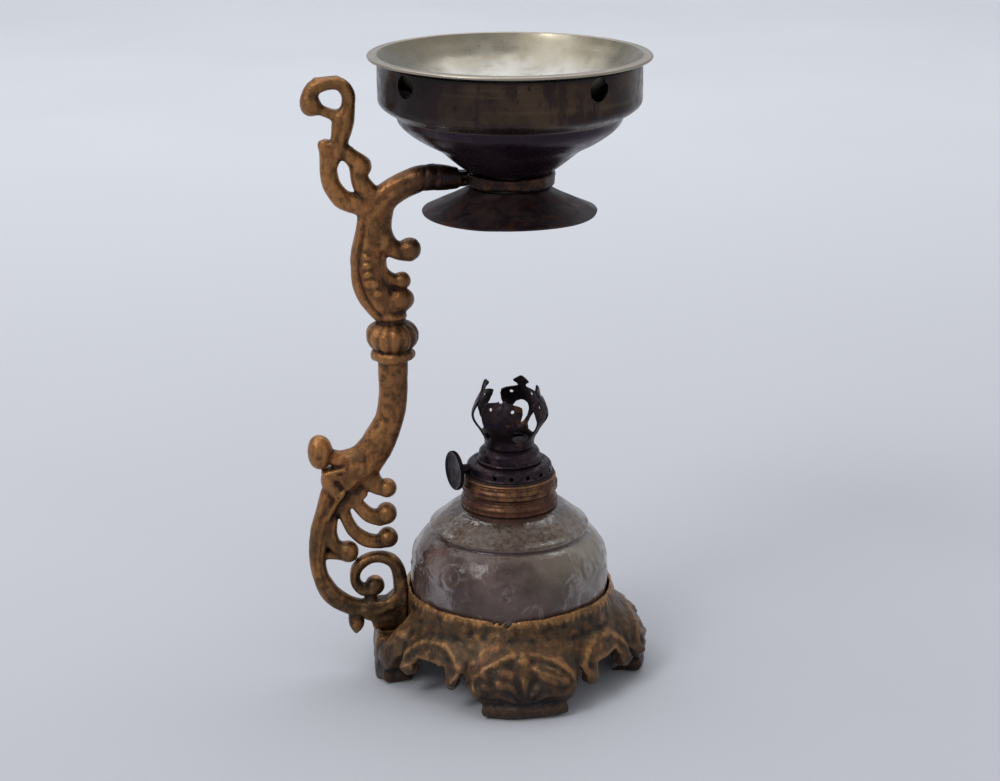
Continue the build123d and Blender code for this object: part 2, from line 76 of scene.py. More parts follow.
# ------------------------------------------------------------------ mesh tools
def smooth_step(edge0, edge1, value):
    """0 below edge0, 1 above edge1, smooth between."""
    t = np.clip((value - edge0) / (edge1 - edge0), 0.0, 1.0)
    return t * t * (3.0 - 2.0 * t)


def curve(points, step=0.4):
    """Points along a smooth line through the given ones (any number of columns)."""
    points = np.array(points, float)
    padded = np.vstack([2 * points[0] - points[1], points, 2 * points[-1] - points[-2]])
    out = []
    for index in range(1, len(padded) - 2):
        before, start, end, after = padded[index - 1:index + 3]
        count = max(2, int(np.linalg.norm((end - start)[:2]) / step))
        t = np.arange(count)[:, None] / count
        out.append(0.5 * (2 * start + (end - before) * t
                          + (2 * before - 5 * start + 4 * end - after) * t ** 2
                          + (3 * start - before - 3 * end + after) * t ** 3))
    out.append(points[-1:])
    return np.vstack(out)


def sheet(points, thickness):
    """A closed outline: the given side of a sheet, and the same side moved in by its thickness."""
    points = np.array(points, float)
    run = np.gradient(points, axis=0)
    run /= np.linalg.norm(run, axis=1)[:, None]
    other = points + np.stack([-run[:, 1], run[:, 0]], 1) * thickness
    return np.vstack([points, other[::-1]])


def add_mesh(name, points_mm, faces, body, crease=35):
    """A mesh object from millimetre points, riding on a CAD body."""
    mesh = bpy.data.meshes.new(name)
    mesh.from_pydata((np.asarray(points_mm) * MM).tolist(), [], faces)
    mesh.validate()
    mesh.update()
    mesh.shade_smooth()
    if crease:
        mesh.set_sharp_from_angle(angle=math.radians(crease))
    piece = bpy.data.objects.new(name, mesh)
    bpy.context.collection.objects.link(piece)
    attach(piece, body)
    return piece


def lathe_points(outline, segments):
    """Points and faces of a closed outline of (radius, height) turned about Z."""
    outline = np.asarray(outline, float)
    angles = np.linspace(0, 2 * np.pi, segments, endpoint=False)
    count = len(outline)
    rings = np.empty((segments, count, 3))
    rings[..., 0] = np.cos(angles)[:, None] * outline[:, 0]
    rings[..., 1] = np.sin(angles)[:, None] * outline[:, 0]
    rings[..., 2] = outline[:, 1]
    index = np.arange(segments * count).reshape(segments, count)
    nexts = np.roll(index, -1, axis=0)
    faces = np.stack([index, nexts, np.roll(nexts, -1, axis=1), np.roll(index, -1, axis=1)], -1)
    return rings.reshape(-1, 3), faces.reshape(-1, 4)


def weld(points, faces):
    """Joins the points that meet on the axis, and drops faces that shrink to a line."""
    key = np.round(points, 5)
    unique, where = np.unique(key, axis=0, return_inverse=True)
    where = where.reshape(-1)
    clean = []
    for face in where[faces]:
        ring = [v for k, v in enumerate(face) if v != face[k - 1]]
        if len(ring) > 2:
            clean.append([int(v) for v in ring])
    return unique, clean


def turned(name, outline, body, segments=160, warp=None, crease=35, start=(0, 0, 0), direction=None):
    """A turned piece, its points moved by warp(points), on Z or from start along direction."""
    points, faces = weld(*lathe_points(outline, segments))
    if warp:
        points = warp(points)
    if direction is not None:
        turn = np.array(Vector(direction).to_track_quat("Z", "Y").to_matrix())
        points = points @ turn.T + np.array(start)
    return add_mesh(name, points, faces, body, crease)


def waves(points, size, amount, seed=0):
    """Smooth pseudo-random offsets for an array of points: a few sine waves per octave."""
    draw = np.random.default_rng(seed)
    total = np.zeros(len(points))
    for octave in range(3):
        for _ in range(4):
            direction = draw.normal(size=3)
            direction *= 2 * np.pi / (size / 2 ** octave) / np.linalg.norm(direction)
            total += np.sin(points @ direction + draw.uniform(0, 6.28)) * 0.5 ** octave / 4
    return total * amount


def out_of_round(points, amount, size, seed):
    """A hand-worn turned piece: radius and height drift a little."""
    moved = points.copy()
    drift = waves(points, size, amount, seed)
    radius = np.hypot(points[:, 0], points[:, 1])
    scale = 1 + np.where(radius > 1, drift / np.maximum(radius, 1), 0)
    moved[:, 0] *= scale
    moved[:, 1] *= scale
    moved[:, 2] += waves(points, size * 1.3, amount * 0.5, seed + 9) * (radius > 1)
    return moved


def drifting(amount, size, seed):
    """A warp that leaves a turned piece a little out of round."""
    return lambda points: out_of_round(points, amount, size, seed)


# --------------------------------------------------------------- cast surfaces
def inside_distance(corners, across, up):
    """Signed distance to a closed outline: negative inside."""
    near = np.full(np.broadcast_shapes(across.shape, up.shape), 1e9, np.float32)
    inside = np.zeros(near.shape, bool)
    for (ax, az), (bx, bz) in zip(corners, np.roll(corners, -1, axis=0)):
        ex, ez = bx - ax, bz - az
        t = np.clip(((across - ax) * ex + (up - az) * ez) / max(ex * ex + ez * ez, 1e-9), 0, 1)
        near = np.minimum(near, np.hypot(across - ax - t * ex, up - az - t * ez))
        if ez:
            inside ^= ((az > up) != (bz > up)) & (across < ax + (up - az) * ex / ez)
    return np.where(inside, -near, near)


class Casting:
    """A cast piece as a distance field on a grid, in millimetres."""

    FAR = 2.5

    def __init__(self, low, high, cell):
        self.low = np.array(low, float)
        self.cell = cell
        self.shape = tuple(np.ceil((np.array(high) - self.low) / cell).astype(int) + 1)
        self.field = np.full(self.shape, self.FAR, np.float32)

    def block(self, low, high):
        """The slices of the grid between two corners, and its X, Y and Z there."""
        start = np.clip(np.floor((np.array(low) - self.low) / self.cell).astype(int), 0, self.shape)
        stop = np.clip(np.ceil((np.array(high) - self.low) / self.cell).astype(int) + 1, 0, self.shape)
        slices = tuple(slice(a, b) for a, b in zip(start, stop))
        axes = [self.low[k] + self.cell * np.arange(start[k], stop[k]) for k in range(3)]
        grid = np.meshgrid(*[a.astype(np.float32) for a in axes], indexing="ij", sparse=True)
        return slices, grid

    def whole(self):
        return self.block(self.low, self.low + self.cell * np.array(self.shape))

    def join(self, slices, distance, soft):
        """Smooth union with what is there."""
        there = self.field[slices]
        mix = np.clip(0.5 + 0.5 * (there - distance) / soft, 0, 1)
        self.field[slices] = there * (1 - mix) + distance * mix - soft * mix * (1 - mix)

    def carve(self, slices, distance, soft):
        """Smooth removal of a shape."""
        there = self.field[slices]
        mix = np.clip(0.5 - 0.5 * (there + distance) / soft, 0, 1)
        self.field[slices] = there * (1 - mix) - distance * mix + soft * mix * (1 - mix)

    def limb(self, nodes, depth=(1.1, 0.55), soft=0.6, flutes=(), notches=None, at_y=0.0):
        """A scroll limb in the XZ plane: nodes are (x, z, half width). Its half thickness is
        depth[0] + depth[1] * half width. Each flute is (place across, width, depth)."""
        line = curve(nodes, 0.3)
        reach = line[:, 2].max() + 1.6
        low = (line[:, 0].min() - reach, -6, line[:, 1].min() - reach)
        high = (line[:, 0].max() + reach, 6, line[:, 1].max() + reach)
        slices, (x, y, z) = self.block(low, high)
        flat_x, flat_z = np.broadcast_arrays(x[:, 0, :], z[:, 0, :])
        best = np.full(flat_x.shape, 1e9, np.float32)
        across = np.zeros_like(best)
        half = np.ones_like(best)
        along = np.zeros_like(best)
        tangent = np.gradient(line[:, :2], axis=0)
        tangent /= np.linalg.norm(tangent, axis=1)[:, None]
        length = np.concatenate([[0], np.cumsum(np.linalg.norm(np.diff(line[:, :2], axis=0), axis=1))])
        for (px, pz, radius), (tx, tz), place in zip(line, tangent, length):
            dx, dz = flat_x - px, flat_z - pz
            gap = np.hypot(dx, dz) - radius
            near = gap < best
            best = np.where(near, gap, best)
            half = np.where(near, radius, half)
            across = np.where(near, (-dx * tz + dz * tx) / radius, across)
            along = np.where(near, place, along)
        reach_in = (best + half) / half
        relief = np.zeros_like(best)
        for place, width, amount in flutes:
            relief -= amount * np.exp(-((across - place) / width) ** 2)
        if notches:
            relief += notches(along, across)
        thick = (depth[0] + depth[1] * half) * (1 + relief)
        section = np.sqrt(reach_in[:, None, :] ** 2.2 + (np.abs(y - at_y) / thick[:, None, :]) ** 2.2)
        self.join(slices, (section - 1) * half[:, None, :].clip(0.8, 3.0), soft)

    def slab(self, outline, half, edge=0.7, soft=0.6):
        """A flat web with rounded edges: a closed (x, z) outline, 2 * half thick."""
        corners = np.array(outline, float)
        low = (corners[:, 0].min() - 1.5, -half - 1.5, corners[:, 1].min() - 1.5)
        high = (corners[:, 0].max() + 1.5, half + 1.5, corners[:, 1].max() + 1.5)
        slices, (x, y, z) = self.block(low, high)
        flat = inside_distance(corners, x[:, 0, :], z[:, 0, :])[:, None, :] + edge
        deep = np.abs(y) - half + edge
        self.join(slices, np.hypot(flat.clip(0), deep.clip(0)) + np.minimum(np.maximum(flat, deep), 0)
                  - edge, soft)

    def ball(self, centre, radii, soft=0.4):
        """An ellipsoid boss."""
        slices, distance = self.ellipsoid(centre, radii)
        self.join(slices, distance, soft)

    def pit(self, centre, radii, soft=0.3):
        """An ellipsoid hollow."""
        slices, distance = self.ellipsoid(centre, radii)
        self.carve(slices, distance, soft)

    def ellipsoid(self, centre, radii):
        centre, radii = np.array(centre, float), np.broadcast_to(np.array(radii, float), 3)
        slices, (x, y, z) = self.block(centre - radii - 1.5, centre + radii + 1.5)
        reach = np.sqrt(((x - centre[0]) / radii[0]) ** 2 + ((y - centre[1]) / radii[1]) ** 2
                        + ((z - centre[2]) / radii[2]) ** 2)
        return slices, (reach - 1) * radii.min()

    def tube(self, line, radius, soft, carve):
        """A round bead or groove along a run of (x, y, z) points."""
        line = np.array(line, float)
        low, high = line.min(0) - radius - 1.2, line.max(0) + radius + 1.2
        slices, (x, y, z) = self.block(low, high)
        near = np.full(np.broadcast_shapes(x.shape, y.shape, z.shape), 1e9, np.float32)
        for start, end in zip(line[:-1], line[1:]):
            run = end - start
            t = ((x - start[0]) * run[0] + (y - start[1]) * run[1] + (z - start[2]) * run[2]) / run.dot(run)
            t = np.clip(t, 0, 1)
            gap = np.sqrt((x - start[0] - t * run[0]) ** 2 + (y - start[1] - t * run[1]) ** 2
                          + (z - start[2] - t * run[2]) ** 2)
            near = np.minimum(near, gap)
        (self.carve if carve else self.join)(slices, near - radius, soft)

    def beads(self, radius, soft, line, carve=False):
        """A bead along a run of (x, y, z) points, and its mirror image on the other face."""
        for side in FACES:
            self.tube([(x, side * y, z) for x, y, z in line], radius, soft, carve)

    def grooves(self, radius, soft, line):
        self.beads(radius, soft, line, carve=True)

    def rough(self, size, amount, seed):
        """Sand-cast roughness: lumps about `size` across push the surface in and out."""
        coarse = [int(np.ceil(count * self.cell / size)) + 4 for count in self.shape]
        total = np.random.default_rng(seed).normal(size=coarse)
        for axis, count in enumerate(self.shape):
            place = np.arange(count) * self.cell / size
            start = place.astype(int)
            f = place - start
            weights = np.zeros((count, coarse[axis]))
            for k, w in enumerate(((1 - f) ** 3, 3 * f ** 3 - 6 * f ** 2 + 4,
                                   -3 * f ** 3 + 3 * f ** 2 + 3 * f + 1, f ** 3)):
                weights[np.arange(count), start + k] = w / 6
            total = np.moveaxis(np.tensordot(weights, total, (1, axis)), 0, axis)
        self.field += (total * (3 * amount)).astype(np.float32)

    def mesh(self, passes):
        """Points and quads of the surface, relaxed without shrinking it."""
        grid = openvdb.FloatGrid(background=self.FAR)
        grid.copyFromArray(np.clip(self.field, -self.FAR, self.FAR), tolerance=0.0)
        points, quads = grid.convertToQuads(isovalue=0.0)
        points = points.astype(float) * self.cell + self.low
        quads = quads.astype(np.int64)
        corner = points[quads]
        volume = np.einsum("ij,ij->i", corner[:, 0], np.cross(corner[:, 1], corner[:, 2])).sum()
        if volume < 0:
            quads = quads[:, ::-1]
        for _ in range(passes):
            for push in (0.55, -0.45):
                points += push * (neighbour_mean(points, quads) - points)
        return points, quads


def neighbour_mean(values, quads):
    """The mean of each point's neighbours along the quads' edges."""
    total = np.zeros_like(values)
    count = 2.0 * np.bincount(quads.ravel(), minlength=len(values))
    for k in range(4):
        here, there = quads[:, k], quads[:, (k + 1) % 4]
        for a, b in ((here, there), (there, here)):
            for column in range(values.shape[1]):
                total[:, column] += np.bincount(a, weights=values[b, column], minlength=len(values))
    return total / np.maximum(count, 1)[:, None]


def height_of(points, quads, fine, broad):
    """How far the surface stands above its surroundings: high places positive."""
    corner = points[quads]
    face = np.cross(corner[:, 2] - corner[:, 0], corner[:, 3] - corner[:, 1])
    normal = np.zeros_like(points)
    for k in range(4):
        for column in range(3):
            normal[:, column] += np.bincount(quads[:, k], weights=face[:, column], minlength=len(points))
    normal /= np.maximum(np.linalg.norm(normal, axis=1), 1e-9)[:, None]
    near = points
    for _ in range(fine):
        near = neighbour_mean(near, quads)
    far = near
    for _ in range(broad):
        far = neighbour_mean(far, quads)
    return ((near - far) * normal).sum(1)


def add_casting(name, cast, body, passes=2):
    """The casting's mesh, with attributes that say where it stands out and where it lies hollow: for wear and
    painted highlight, and for dirt and painted shade.
    """
    points, quads = cast.mesh(passes)
    piece = add_mesh(name, points, quads.tolist(), body, crease=None)
    for attribute, fine, broad, scale in (("edge", 3, 9, 0.22), ("hollow", 6, 28, 0.9)):
        value = height_of(points, quads, fine, broad) / scale
        layer = piece.data.attributes.new(attribute, "FLOAT", "POINT")
        layer.data.foreach_set("value", np.clip(0.5 + value, 0, 1).astype(np.float32))
    return piece


# ------------------------------------------------------------------- materials
class Surface:
    """A small builder for a procedural material on one Principled shader."""

    def __init__(self, name, **fixed):
        self.material = bpy.data.materials.new(name)
        self.material.use_nodes = True
        self.nodes = self.material.node_tree.nodes
        self.links = self.material.node_tree.links
        self.shader = self.nodes["Principled BSDF"]
        self.body = self.roughness = self.normal = None
        for socket, value in fixed.items():
            self.shader.inputs[socket.replace("_", " ")].default_value = value
        place = self.nodes.new("ShaderNodeTexCoord").outputs["Object"]
        self.place = self.vector("SCALE", place, Scale=1 / MM)

    def put(self, value, socket):
        """Links an output, or sets a number or colour."""
        if isinstance(value, bpy.types.NodeSocket):
            self.links.new(value, socket)
        else:
            socket.default_value = value

    def vector(self, operation, place, by=None, output=0, **inputs):
        """A vector operation on a place, with a constant vector or a named number."""
        node = self.nodes.new("ShaderNodeVectorMath")
        node.operation = operation
        if by:
            node.inputs[1].default_value = by
        for name, value in inputs.items():
            node.inputs[name].default_value = value
        self.links.new(place, node.inputs[0])
        return node.outputs[output]

    def noise(self, size, detail=4.0, rough=0.55, stretch=None, twist=0.0, place=None):
        """Cloudy noise whose features are about `size` millimetres across."""
        place = place or self.place
        if stretch:
            place = self.vector("MULTIPLY", place, stretch)
        node = self.nodes.new("ShaderNodeTexNoise")
        for name, value in (("Scale", 1.0 / size), ("Detail", detail), ("Roughness", rough),
                            ("Distortion", twist)):
            node.inputs[name].default_value = value
        self.links.new(place, node.inputs["Vector"])
        return node.outputs["Fac"]

    def cells(self, size):
        """Cell distance, for pits and specks."""
        node = self.nodes.new("ShaderNodeTexVoronoi")
        node.inputs["Scale"].default_value = 1.0 / size
        self.links.new(self.place, node.inputs["Vector"])
        return node.outputs["Distance"]

    def attribute(self, name):
        node = self.nodes.new("ShaderNodeAttribute")
        node.attribute_name = name
        return node.outputs["Fac"]

    def axis(self, name):
        """The object's own X, Y or Z in millimetres."""
        node = self.nodes.new("ShaderNodeSeparateXYZ")
        self.links.new(self.place, node.inputs[0])
        return node.outputs[name]

    def around(self):
        """Distance from the lamp's axis in millimetres."""
        return self.vector("LENGTH", self.vector("MULTIPLY", self.place, (1, 1, 0)), output="Value")

    def math(self, operation, *values):
        node = self.nodes.new("ShaderNodeMath")
        node.operation = operation
        for value, socket in zip(values, node.inputs):
            self.put(value, socket)
        return node.outputs[0]

    def add(self, a, b):
        return self.math("ADD", a, b)

    def times(self, a, b):
        return self.math("MULTIPLY", a, b)

    def ramp(self, value, low, high, out_low=0.0, out_high=1.0):
        """A smooth step from low to high."""
        node = self.nodes.new("ShaderNodeMapRange")
        node.interpolation_type = "SMOOTHSTEP"
        for name, number in (("From Min", low), ("From Max", high), ("To Min", out_low), ("To Max", out_high),
                             ("Value", value)):
            self.put(number, node.inputs[name])
        return node.outputs[0]

    def mix(self, factor, a, b):
        """Colour mix; a and b are colours (r, g, b) or outputs."""
        node = self.nodes.new("ShaderNodeMix")
        node.data_type = "RGBA"
        self.put(factor, node.inputs["Factor"])
        for value, socket in ((a, node.inputs[6]), (b, node.inputs[7])):
            self.put(value if isinstance(value, bpy.types.NodeSocket) else (*value, 1.0), socket)
        return node.outputs[2]

    def cover(self, factor, color):
        """Lays a colour over the body."""
        self.body = self.mix(factor, self.body, color)

    def coat(self, value, low, high, color, amount=1.0):
        """Lays a colour over the body, up to `amount` thick as value goes from low to high."""
        self.cover(self.ramp(value, low, high, 0, amount), color)

    def bump(self, height, strength, depth):
        """Adds a bump of so many metres, on top of the earlier ones."""
        node = self.nodes.new("ShaderNodeBump")
        node.inputs["Strength"].default_value = strength
        node.inputs["Distance"].default_value = depth
        self.put(height, node.inputs["Height"])
        if self.normal:
            self.links.new(self.normal, node.inputs["Normal"])
        self.normal = node.outputs[0]

    def finish(self, metallic=None, **others):
        others.update(Base_Color=self.body, Roughness=self.roughness, Normal=self.normal, Metallic=metallic)
        for name, value in others.items():
            if value is not None:
                self.put(value, self.shader.inputs[name.replace("_", " ")])
        return self.material


def srgb(red, green, blue):
    """A colour given as 0-255 screen values, as the linear one that shaders use."""
    return tuple((v / 255 / 12.92) if v <= 10 else ((v / 255 + 0.055) / 1.055) ** 2.4
                 for v in (red, green, blue))


def gilt_iron(name, paint, light, copper, dark, grime, sooted):
    """Bronze-painted cast iron: gold left on the high places, partly a painted highlight; dark in the
    hollows, from grime and painted shade.
    """
    s = Surface(name)
    edge, hollow = s.attribute("edge"), s.attribute("hollow")
    cloud, patch = s.noise(8.0, 5), s.noise(3.4, 5, twist=0.7)
    fine, grain = s.noise(1.3, 5, 0.65), s.noise(0.45, 4)
    s.body = s.mix(s.ramp(cloud, 0.34, 0.70), paint, grime)
    s.coat(patch, 0.48, 0.66, copper, 0.7)
    s.coat(fine, 0.58, 0.30, dark, 0.5)
    # gold on the raised places: wear, and a painted highlight
    s.coat(s.add(s.times(edge, 0.6), s.times(s.add(fine, patch), 0.4)), 0.72, 0.98, light, 0.9)
    # dark in the hollows and the fine creases: grime there, and painted shade
    s.coat(s.add(hollow, s.times(s.add(fine, cloud), 0.22)), 0.74, 0.40, dark, 0.85)
    s.coat(edge, 0.46, 0.20, tuple(v * 0.6 for v in dark), 0.85)
    s.coat(s.noise(11.0, 5), 0.58 - sooted, 0.84 - sooted, dark, 0.6)
    s.coat(grain, 0.60, 0.72, light, 0.25)
    s.coat(s.noise(1.6, 4, stretch=(1.6, 1.6, 0.35)), 0.54, 0.38, grime, 0.35)
    s.roughness = s.ramp(s.add(fine, s.times(edge, -0.4)), 0.0, 0.5, 0.26, 0.46)
    s.bump(grain, 0.5, 0.00014)
    s.bump(fine, 0.6, 0.0004)
    return s


def bracket_material():
    s = gilt_iron("gilt bracket", srgb(150, 102, 62), srgb(172, 120, 72), srgb(158, 92, 54),
                  srgb(36, 24, 20), srgb(86, 62, 38), 0.03)
    height = s.axis("Z")
    # olive and darker low down
    low = s.ramp(s.add(height, s.times(s.noise(9.0, 3), 30.0)), 80.0, 34.0, 0, 0.9)
    olive = s.mix(s.ramp(s.noise(3.0, 4), 0.42, 0.62), srgb(52, 40, 30), srgb(96, 74, 48))
    s.cover(s.times(low, s.ramp(s.noise(5.0, 4), 0.30, 0.55)), olive)
    s.coat(height, 140.0, 152.0, srgb(104, 76, 46), 0.45)
    # painted highlight: the stem is painted brighter in patches
    stem = s.times(s.ramp(height, 62.0, 68.0), s.ramp(height, 90.0, 84.0))
    s.cover(s.times(stem, s.ramp(s.noise(2.2, 4), 0.40, 0.60, 0, 0.55)), srgb(176, 122, 76))
    # smoke from the flame darkens the arm towards its ring
    smoked = s.mix(s.ramp(s.noise(2.4, 4), 0.48, 0.66), srgb(42, 28, 27), srgb(76, 48, 34))
    s.coat(s.axis("X"), -36.0, -18.0, smoked)
    return s.finish(0.75)


def base_material():
    s = gilt_iron("gilt base", srgb(102, 76, 48), srgb(164, 118, 72), srgb(126, 76, 44),
                  srgb(34, 26, 24), srgb(70, 56, 38), 0.10)
    grey = s.mix(s.ramp(s.noise(2.0, 4), 0.42, 0.66), srgb(34, 28, 30), srgb(60, 48, 44))
    s.coat(s.add(s.axis("Z"), s.times(s.noise(6.0, 4), 10.0)), 22.0, 11.0, grey, 0.85)
    return s.finish(0.6)


def glass_material():
    s = Surface("dusty glass", IOR=1.45, Specular_IOR_Level=0.32)
    dust = s.noise(11.0, 4)
    film, fine = s.noise(4.2, 5, twist=0.5), s.noise(1.2, 5)
    height, across = s.axis("Z"), s.axis("X")
    s.body = s.mix(s.ramp(dust, 0.38, 0.62), srgb(118, 99, 95), srgb(72, 56, 52))
    s.coat(height, 44.0, 24.0, srgb(76, 61, 59), 0.6)
    # painted light: the upper right of the belly is painted lighter
    upper = s.times(s.ramp(height, 22.0, 38.0), s.ramp(across, -6.0, 22.0))
    s.cover(s.times(upper, 0.75), srgb(128, 120, 104))
    s.cover(s.times(s.ramp(film, 0.54, 0.70), s.ramp(height, 20.0, 40.0, 0, 0.5)), srgb(126, 112, 100))
    # the shoulder above the step is dustier, and dirt lies in the groove under it
    s.coat(height, 40.3, 40.9, s.mix(s.ramp(fine, 0.36, 0.62), srgb(72, 57, 48), srgb(108, 92, 80)), 0.85)
    groove = s.times(s.ramp(height, 39.0, 39.5), s.ramp(height, 40.3, 39.9))
    s.cover(s.times(groove, 0.75), srgb(54, 40, 38))
    s.coat(s.around(), 17.4, 13.2, srgb(54, 38, 32), 0.9)
    # painted highlight: irregular light streaks, stronger low on the belly
    highlight_streaks = s.times(s.ramp(s.noise(7.0, 4, twist=1.6), 0.56, 0.68), s.ramp(height, 38.0, 30.0, 0.1, 0.6))
    s.cover(highlight_streaks, srgb(136, 122, 118))
    s.coat(s.cells(2.6), 0.10, 0.05, srgb(50, 38, 35), 0.7)
    s.roughness = s.ramp(film, 0.35, 0.7, 0.10, 0.28)
    s.bump(s.noise(5.0, 4), 0.5, 0.0009)
    s.bump(fine, 0.15, 0.00012)
    return s.finish(Transmission_Weight=s.ramp(s.add(film, s.times(dust, 0.6)), 0.6, 1.0, 0.16, 0.06))


def worn_brass(name, bright, dull, dark, bands=0.0):
    """Tarnished sheet or rolled brass with fine turning marks."""
    s = Surface(name)
    cloud, spots = s.noise(4.0, 5), s.noise(1.0, 5)
    lines = s.noise(0.28, 2, stretch=(0.06, 0.06, 1.0))
    s.body = s.mix(s.ramp(cloud, 0.36, 0.62), bright, dull)
    s.coat(spots, 0.48, 0.72, dark, 0.8)
    s.coat(lines, 0.55, 0.75, dark, 0.3)
    s.roughness = s.ramp(s.add(cloud, spots), 0.7, 1.3, 0.28, 0.60)
    s.bump(lines, 0.12 + bands, 0.00008)
    s.bump(spots, 0.25, 0.00012)
    return s


def plain_worn_brass(name, bright, dull, dark, metal=0.85):
    return worn_brass(name, bright, dull, dark).finish(metal)


def collar_material(top):
    s = worn_brass("collar brass", srgb(128, 92, 62), srgb(92, 64, 52), srgb(52, 36, 34), bands=0.15)
    height = s.axis("Z")
    s.coat(s.noise(2.6, 5, stretch=(0.5, 0.5, 1.6)), 0.50, 0.68, srgb(82, 40, 36), 0.6)
    s.coat(height, top - 4.4, top - 7.0, srgb(88, 56, 46), 0.5)
    groove = s.math("SINE", s.times(height, 2 * math.pi / 1.4))
    s.coat(groove, 0.3, 0.95, srgb(38, 25, 24), 0.35)
    s.coat(height, top - 0.75, top - 0.45, srgb(150, 112, 82), 0.5)
    return s.finish(0.85)


def bowl_material(low, rim):
    """The bowl: a brown metallic band above, smoke-blackened lacquer below."""
    s = Surface("smoked bowl")
    height = s.axis("Z")
    lines = s.noise(0.9, 2, stretch=(0.02, 0.02, 1.0))
    cloud, spots = s.noise(9.0, 5, twist=0.5), s.noise(2.0, 5)
    lower = s.mix(s.ramp(cloud, 0.4, 0.65), srgb(38, 24, 38), srgb(52, 37, 48))
    s.body = s.mix(s.ramp(s.noise(14.0, 4), 0.42, 0.60), srgb(46, 33, 31), srgb(74, 58, 44))
    s.coat(lines, 0.50, 0.70, srgb(100, 86, 66), 0.22)
    s.coat(spots, 0.60, 0.72, srgb(24, 17, 22), 0.8)
    # painted shade: the left side, towards the bracket, is painted darker
    s.coat(s.axis("X"), -8.0, -28.0, srgb(20, 14, 18), 0.85)
    s.coat(s.noise(6.0, 4, stretch=(1.0, 1.0, 0.3)), 0.52, 0.60, srgb(40, 26, 30), 0.7)
    edge = s.add(height, s.times(s.noise(3.0, 3), 0.8))
    s.body = s.mix(s.ramp(edge, low + 14.4, low + 15.4), lower, s.body)
    line = s.times(s.ramp(height, low + 13.9, low + 14.1), s.ramp(height, low + 14.6, low + 14.3))
    s.cover(s.times(line, 0.4), srgb(110, 94, 72))
    # painted shade: a dark band just under the rim, beneath the pan's overhanging rim
    s.coat(height, rim - 1.1, rim - 0.2, srgb(26, 20, 21), 0.7)
    s.roughness = s.ramp(s.add(spots, s.times(cloud, 0.5)), 0.5, 1.0, 0.20, 0.40)
    s.bump(lines, 0.06, 0.00008)
    s.bump(spots, 0.14, 0.00012)
    return s.finish(0.7)


def flare_material():
    s = Surface("smoked flare")
    cloud, rust = s.noise(6.0, 5, twist=0.8), s.noise(2.6, 5)
    s.body = s.mix(s.ramp(cloud, 0.38, 0.64), srgb(44, 32, 38), srgb(62, 46, 46))
    s.coat(rust, 0.54, 0.68, srgb(92, 50, 36), 0.75)
    s.coat(s.noise(4.0, 4), 0.58, 0.70, srgb(84, 78, 60), 0.5)
    s.roughness = s.ramp(cloud, 0.3, 0.7, 0.38, 0.62)
    s.bump(rust, 0.3, 0.00015)
    return s.finish(0.6)


def pan_material():
    s = Surface("spun aluminium")
    radius = s.around()
    swirl = s.nodes.new("ShaderNodeCombineXYZ")
    s.put(radius, swirl.inputs["X"])
    spun = s.noise(1 / 2.2, 4, 0.5, place=swirl.outputs[0])
    stain = s.noise(5.0, 6)
    s.body = s.mix(s.ramp(s.noise(12.0, 5, twist=0.4), 0.35, 0.65), srgb(184, 182, 178), srgb(162, 158, 150))
    s.coat(stain, 0.56, 0.74, srgb(140, 130, 112), 0.5)
    s.coat(spun, 0.55, 0.75, srgb(130, 126, 118), 0.25)
    s.coat(s.cells(3.4), 0.085, 0.05, srgb(72, 48, 36), 0.85)
    s.coat(radius, 22.0, 33.0, srgb(146, 136, 110), 0.65)
    s.coat(radius, 33.2, 34.2, srgb(176, 166, 152), 0.6)
    s.roughness = s.ramp(stain, 0.35, 0.7, 0.26, 0.44)
    s.bump(spun, 0.10, 0.00008)
    s.bump(s.noise(7.0, 3), 0.25, 0.0003)
    return s.finish(0.92)


def wick_material(top):
    """Woven cotton tape, charred at its top."""
    s = Surface("cotton wick")
    weave = s.times(s.math("SINE", s.times(s.axis("X"), 9.0)), s.math("SINE", s.times(s.axis("Z"), 9.0)))
    s.body = s.mix(s.ramp(weave, -0.5, 0.6), srgb(98, 84, 62), srgb(168, 150, 118))
    s.coat(s.axis("Z"), top - 3.5, top - 1.0, srgb(22, 18, 17))
    s.roughness = s.ramp(s.noise(1.0), 0.3, 0.7, 0.75, 0.95)
    s.bump(weave, 0.6, 0.0002)
    return s.finish(0.0)


def chalky(name, light, dark, size=1.4):
    """Dry, matt stuff: plaster or leather."""
    s = Surface(name)
    cloud = s.noise(size, 6)
    s.body = s.mix(s.ramp(cloud, 0.35, 0.65), light, dark)
    s.roughness = s.ramp(s.noise(size * 0.6), 0.3, 0.7, 0.65, 0.9)
    s.bump(cloud, 0.5, 0.0002)
    return s.finish(0.0)


def paint(piece, material):
    piece.data.materials.clear()
    piece.data.materials.append(material)


def repaint(node, material):
    """A CAD node keeps its shape and gets a better material."""
    target = frame["nodes"][node]
    if not target.material_slots:
        target.data.materials.append(material)
    for place in target.material_slots:
        place.material = material


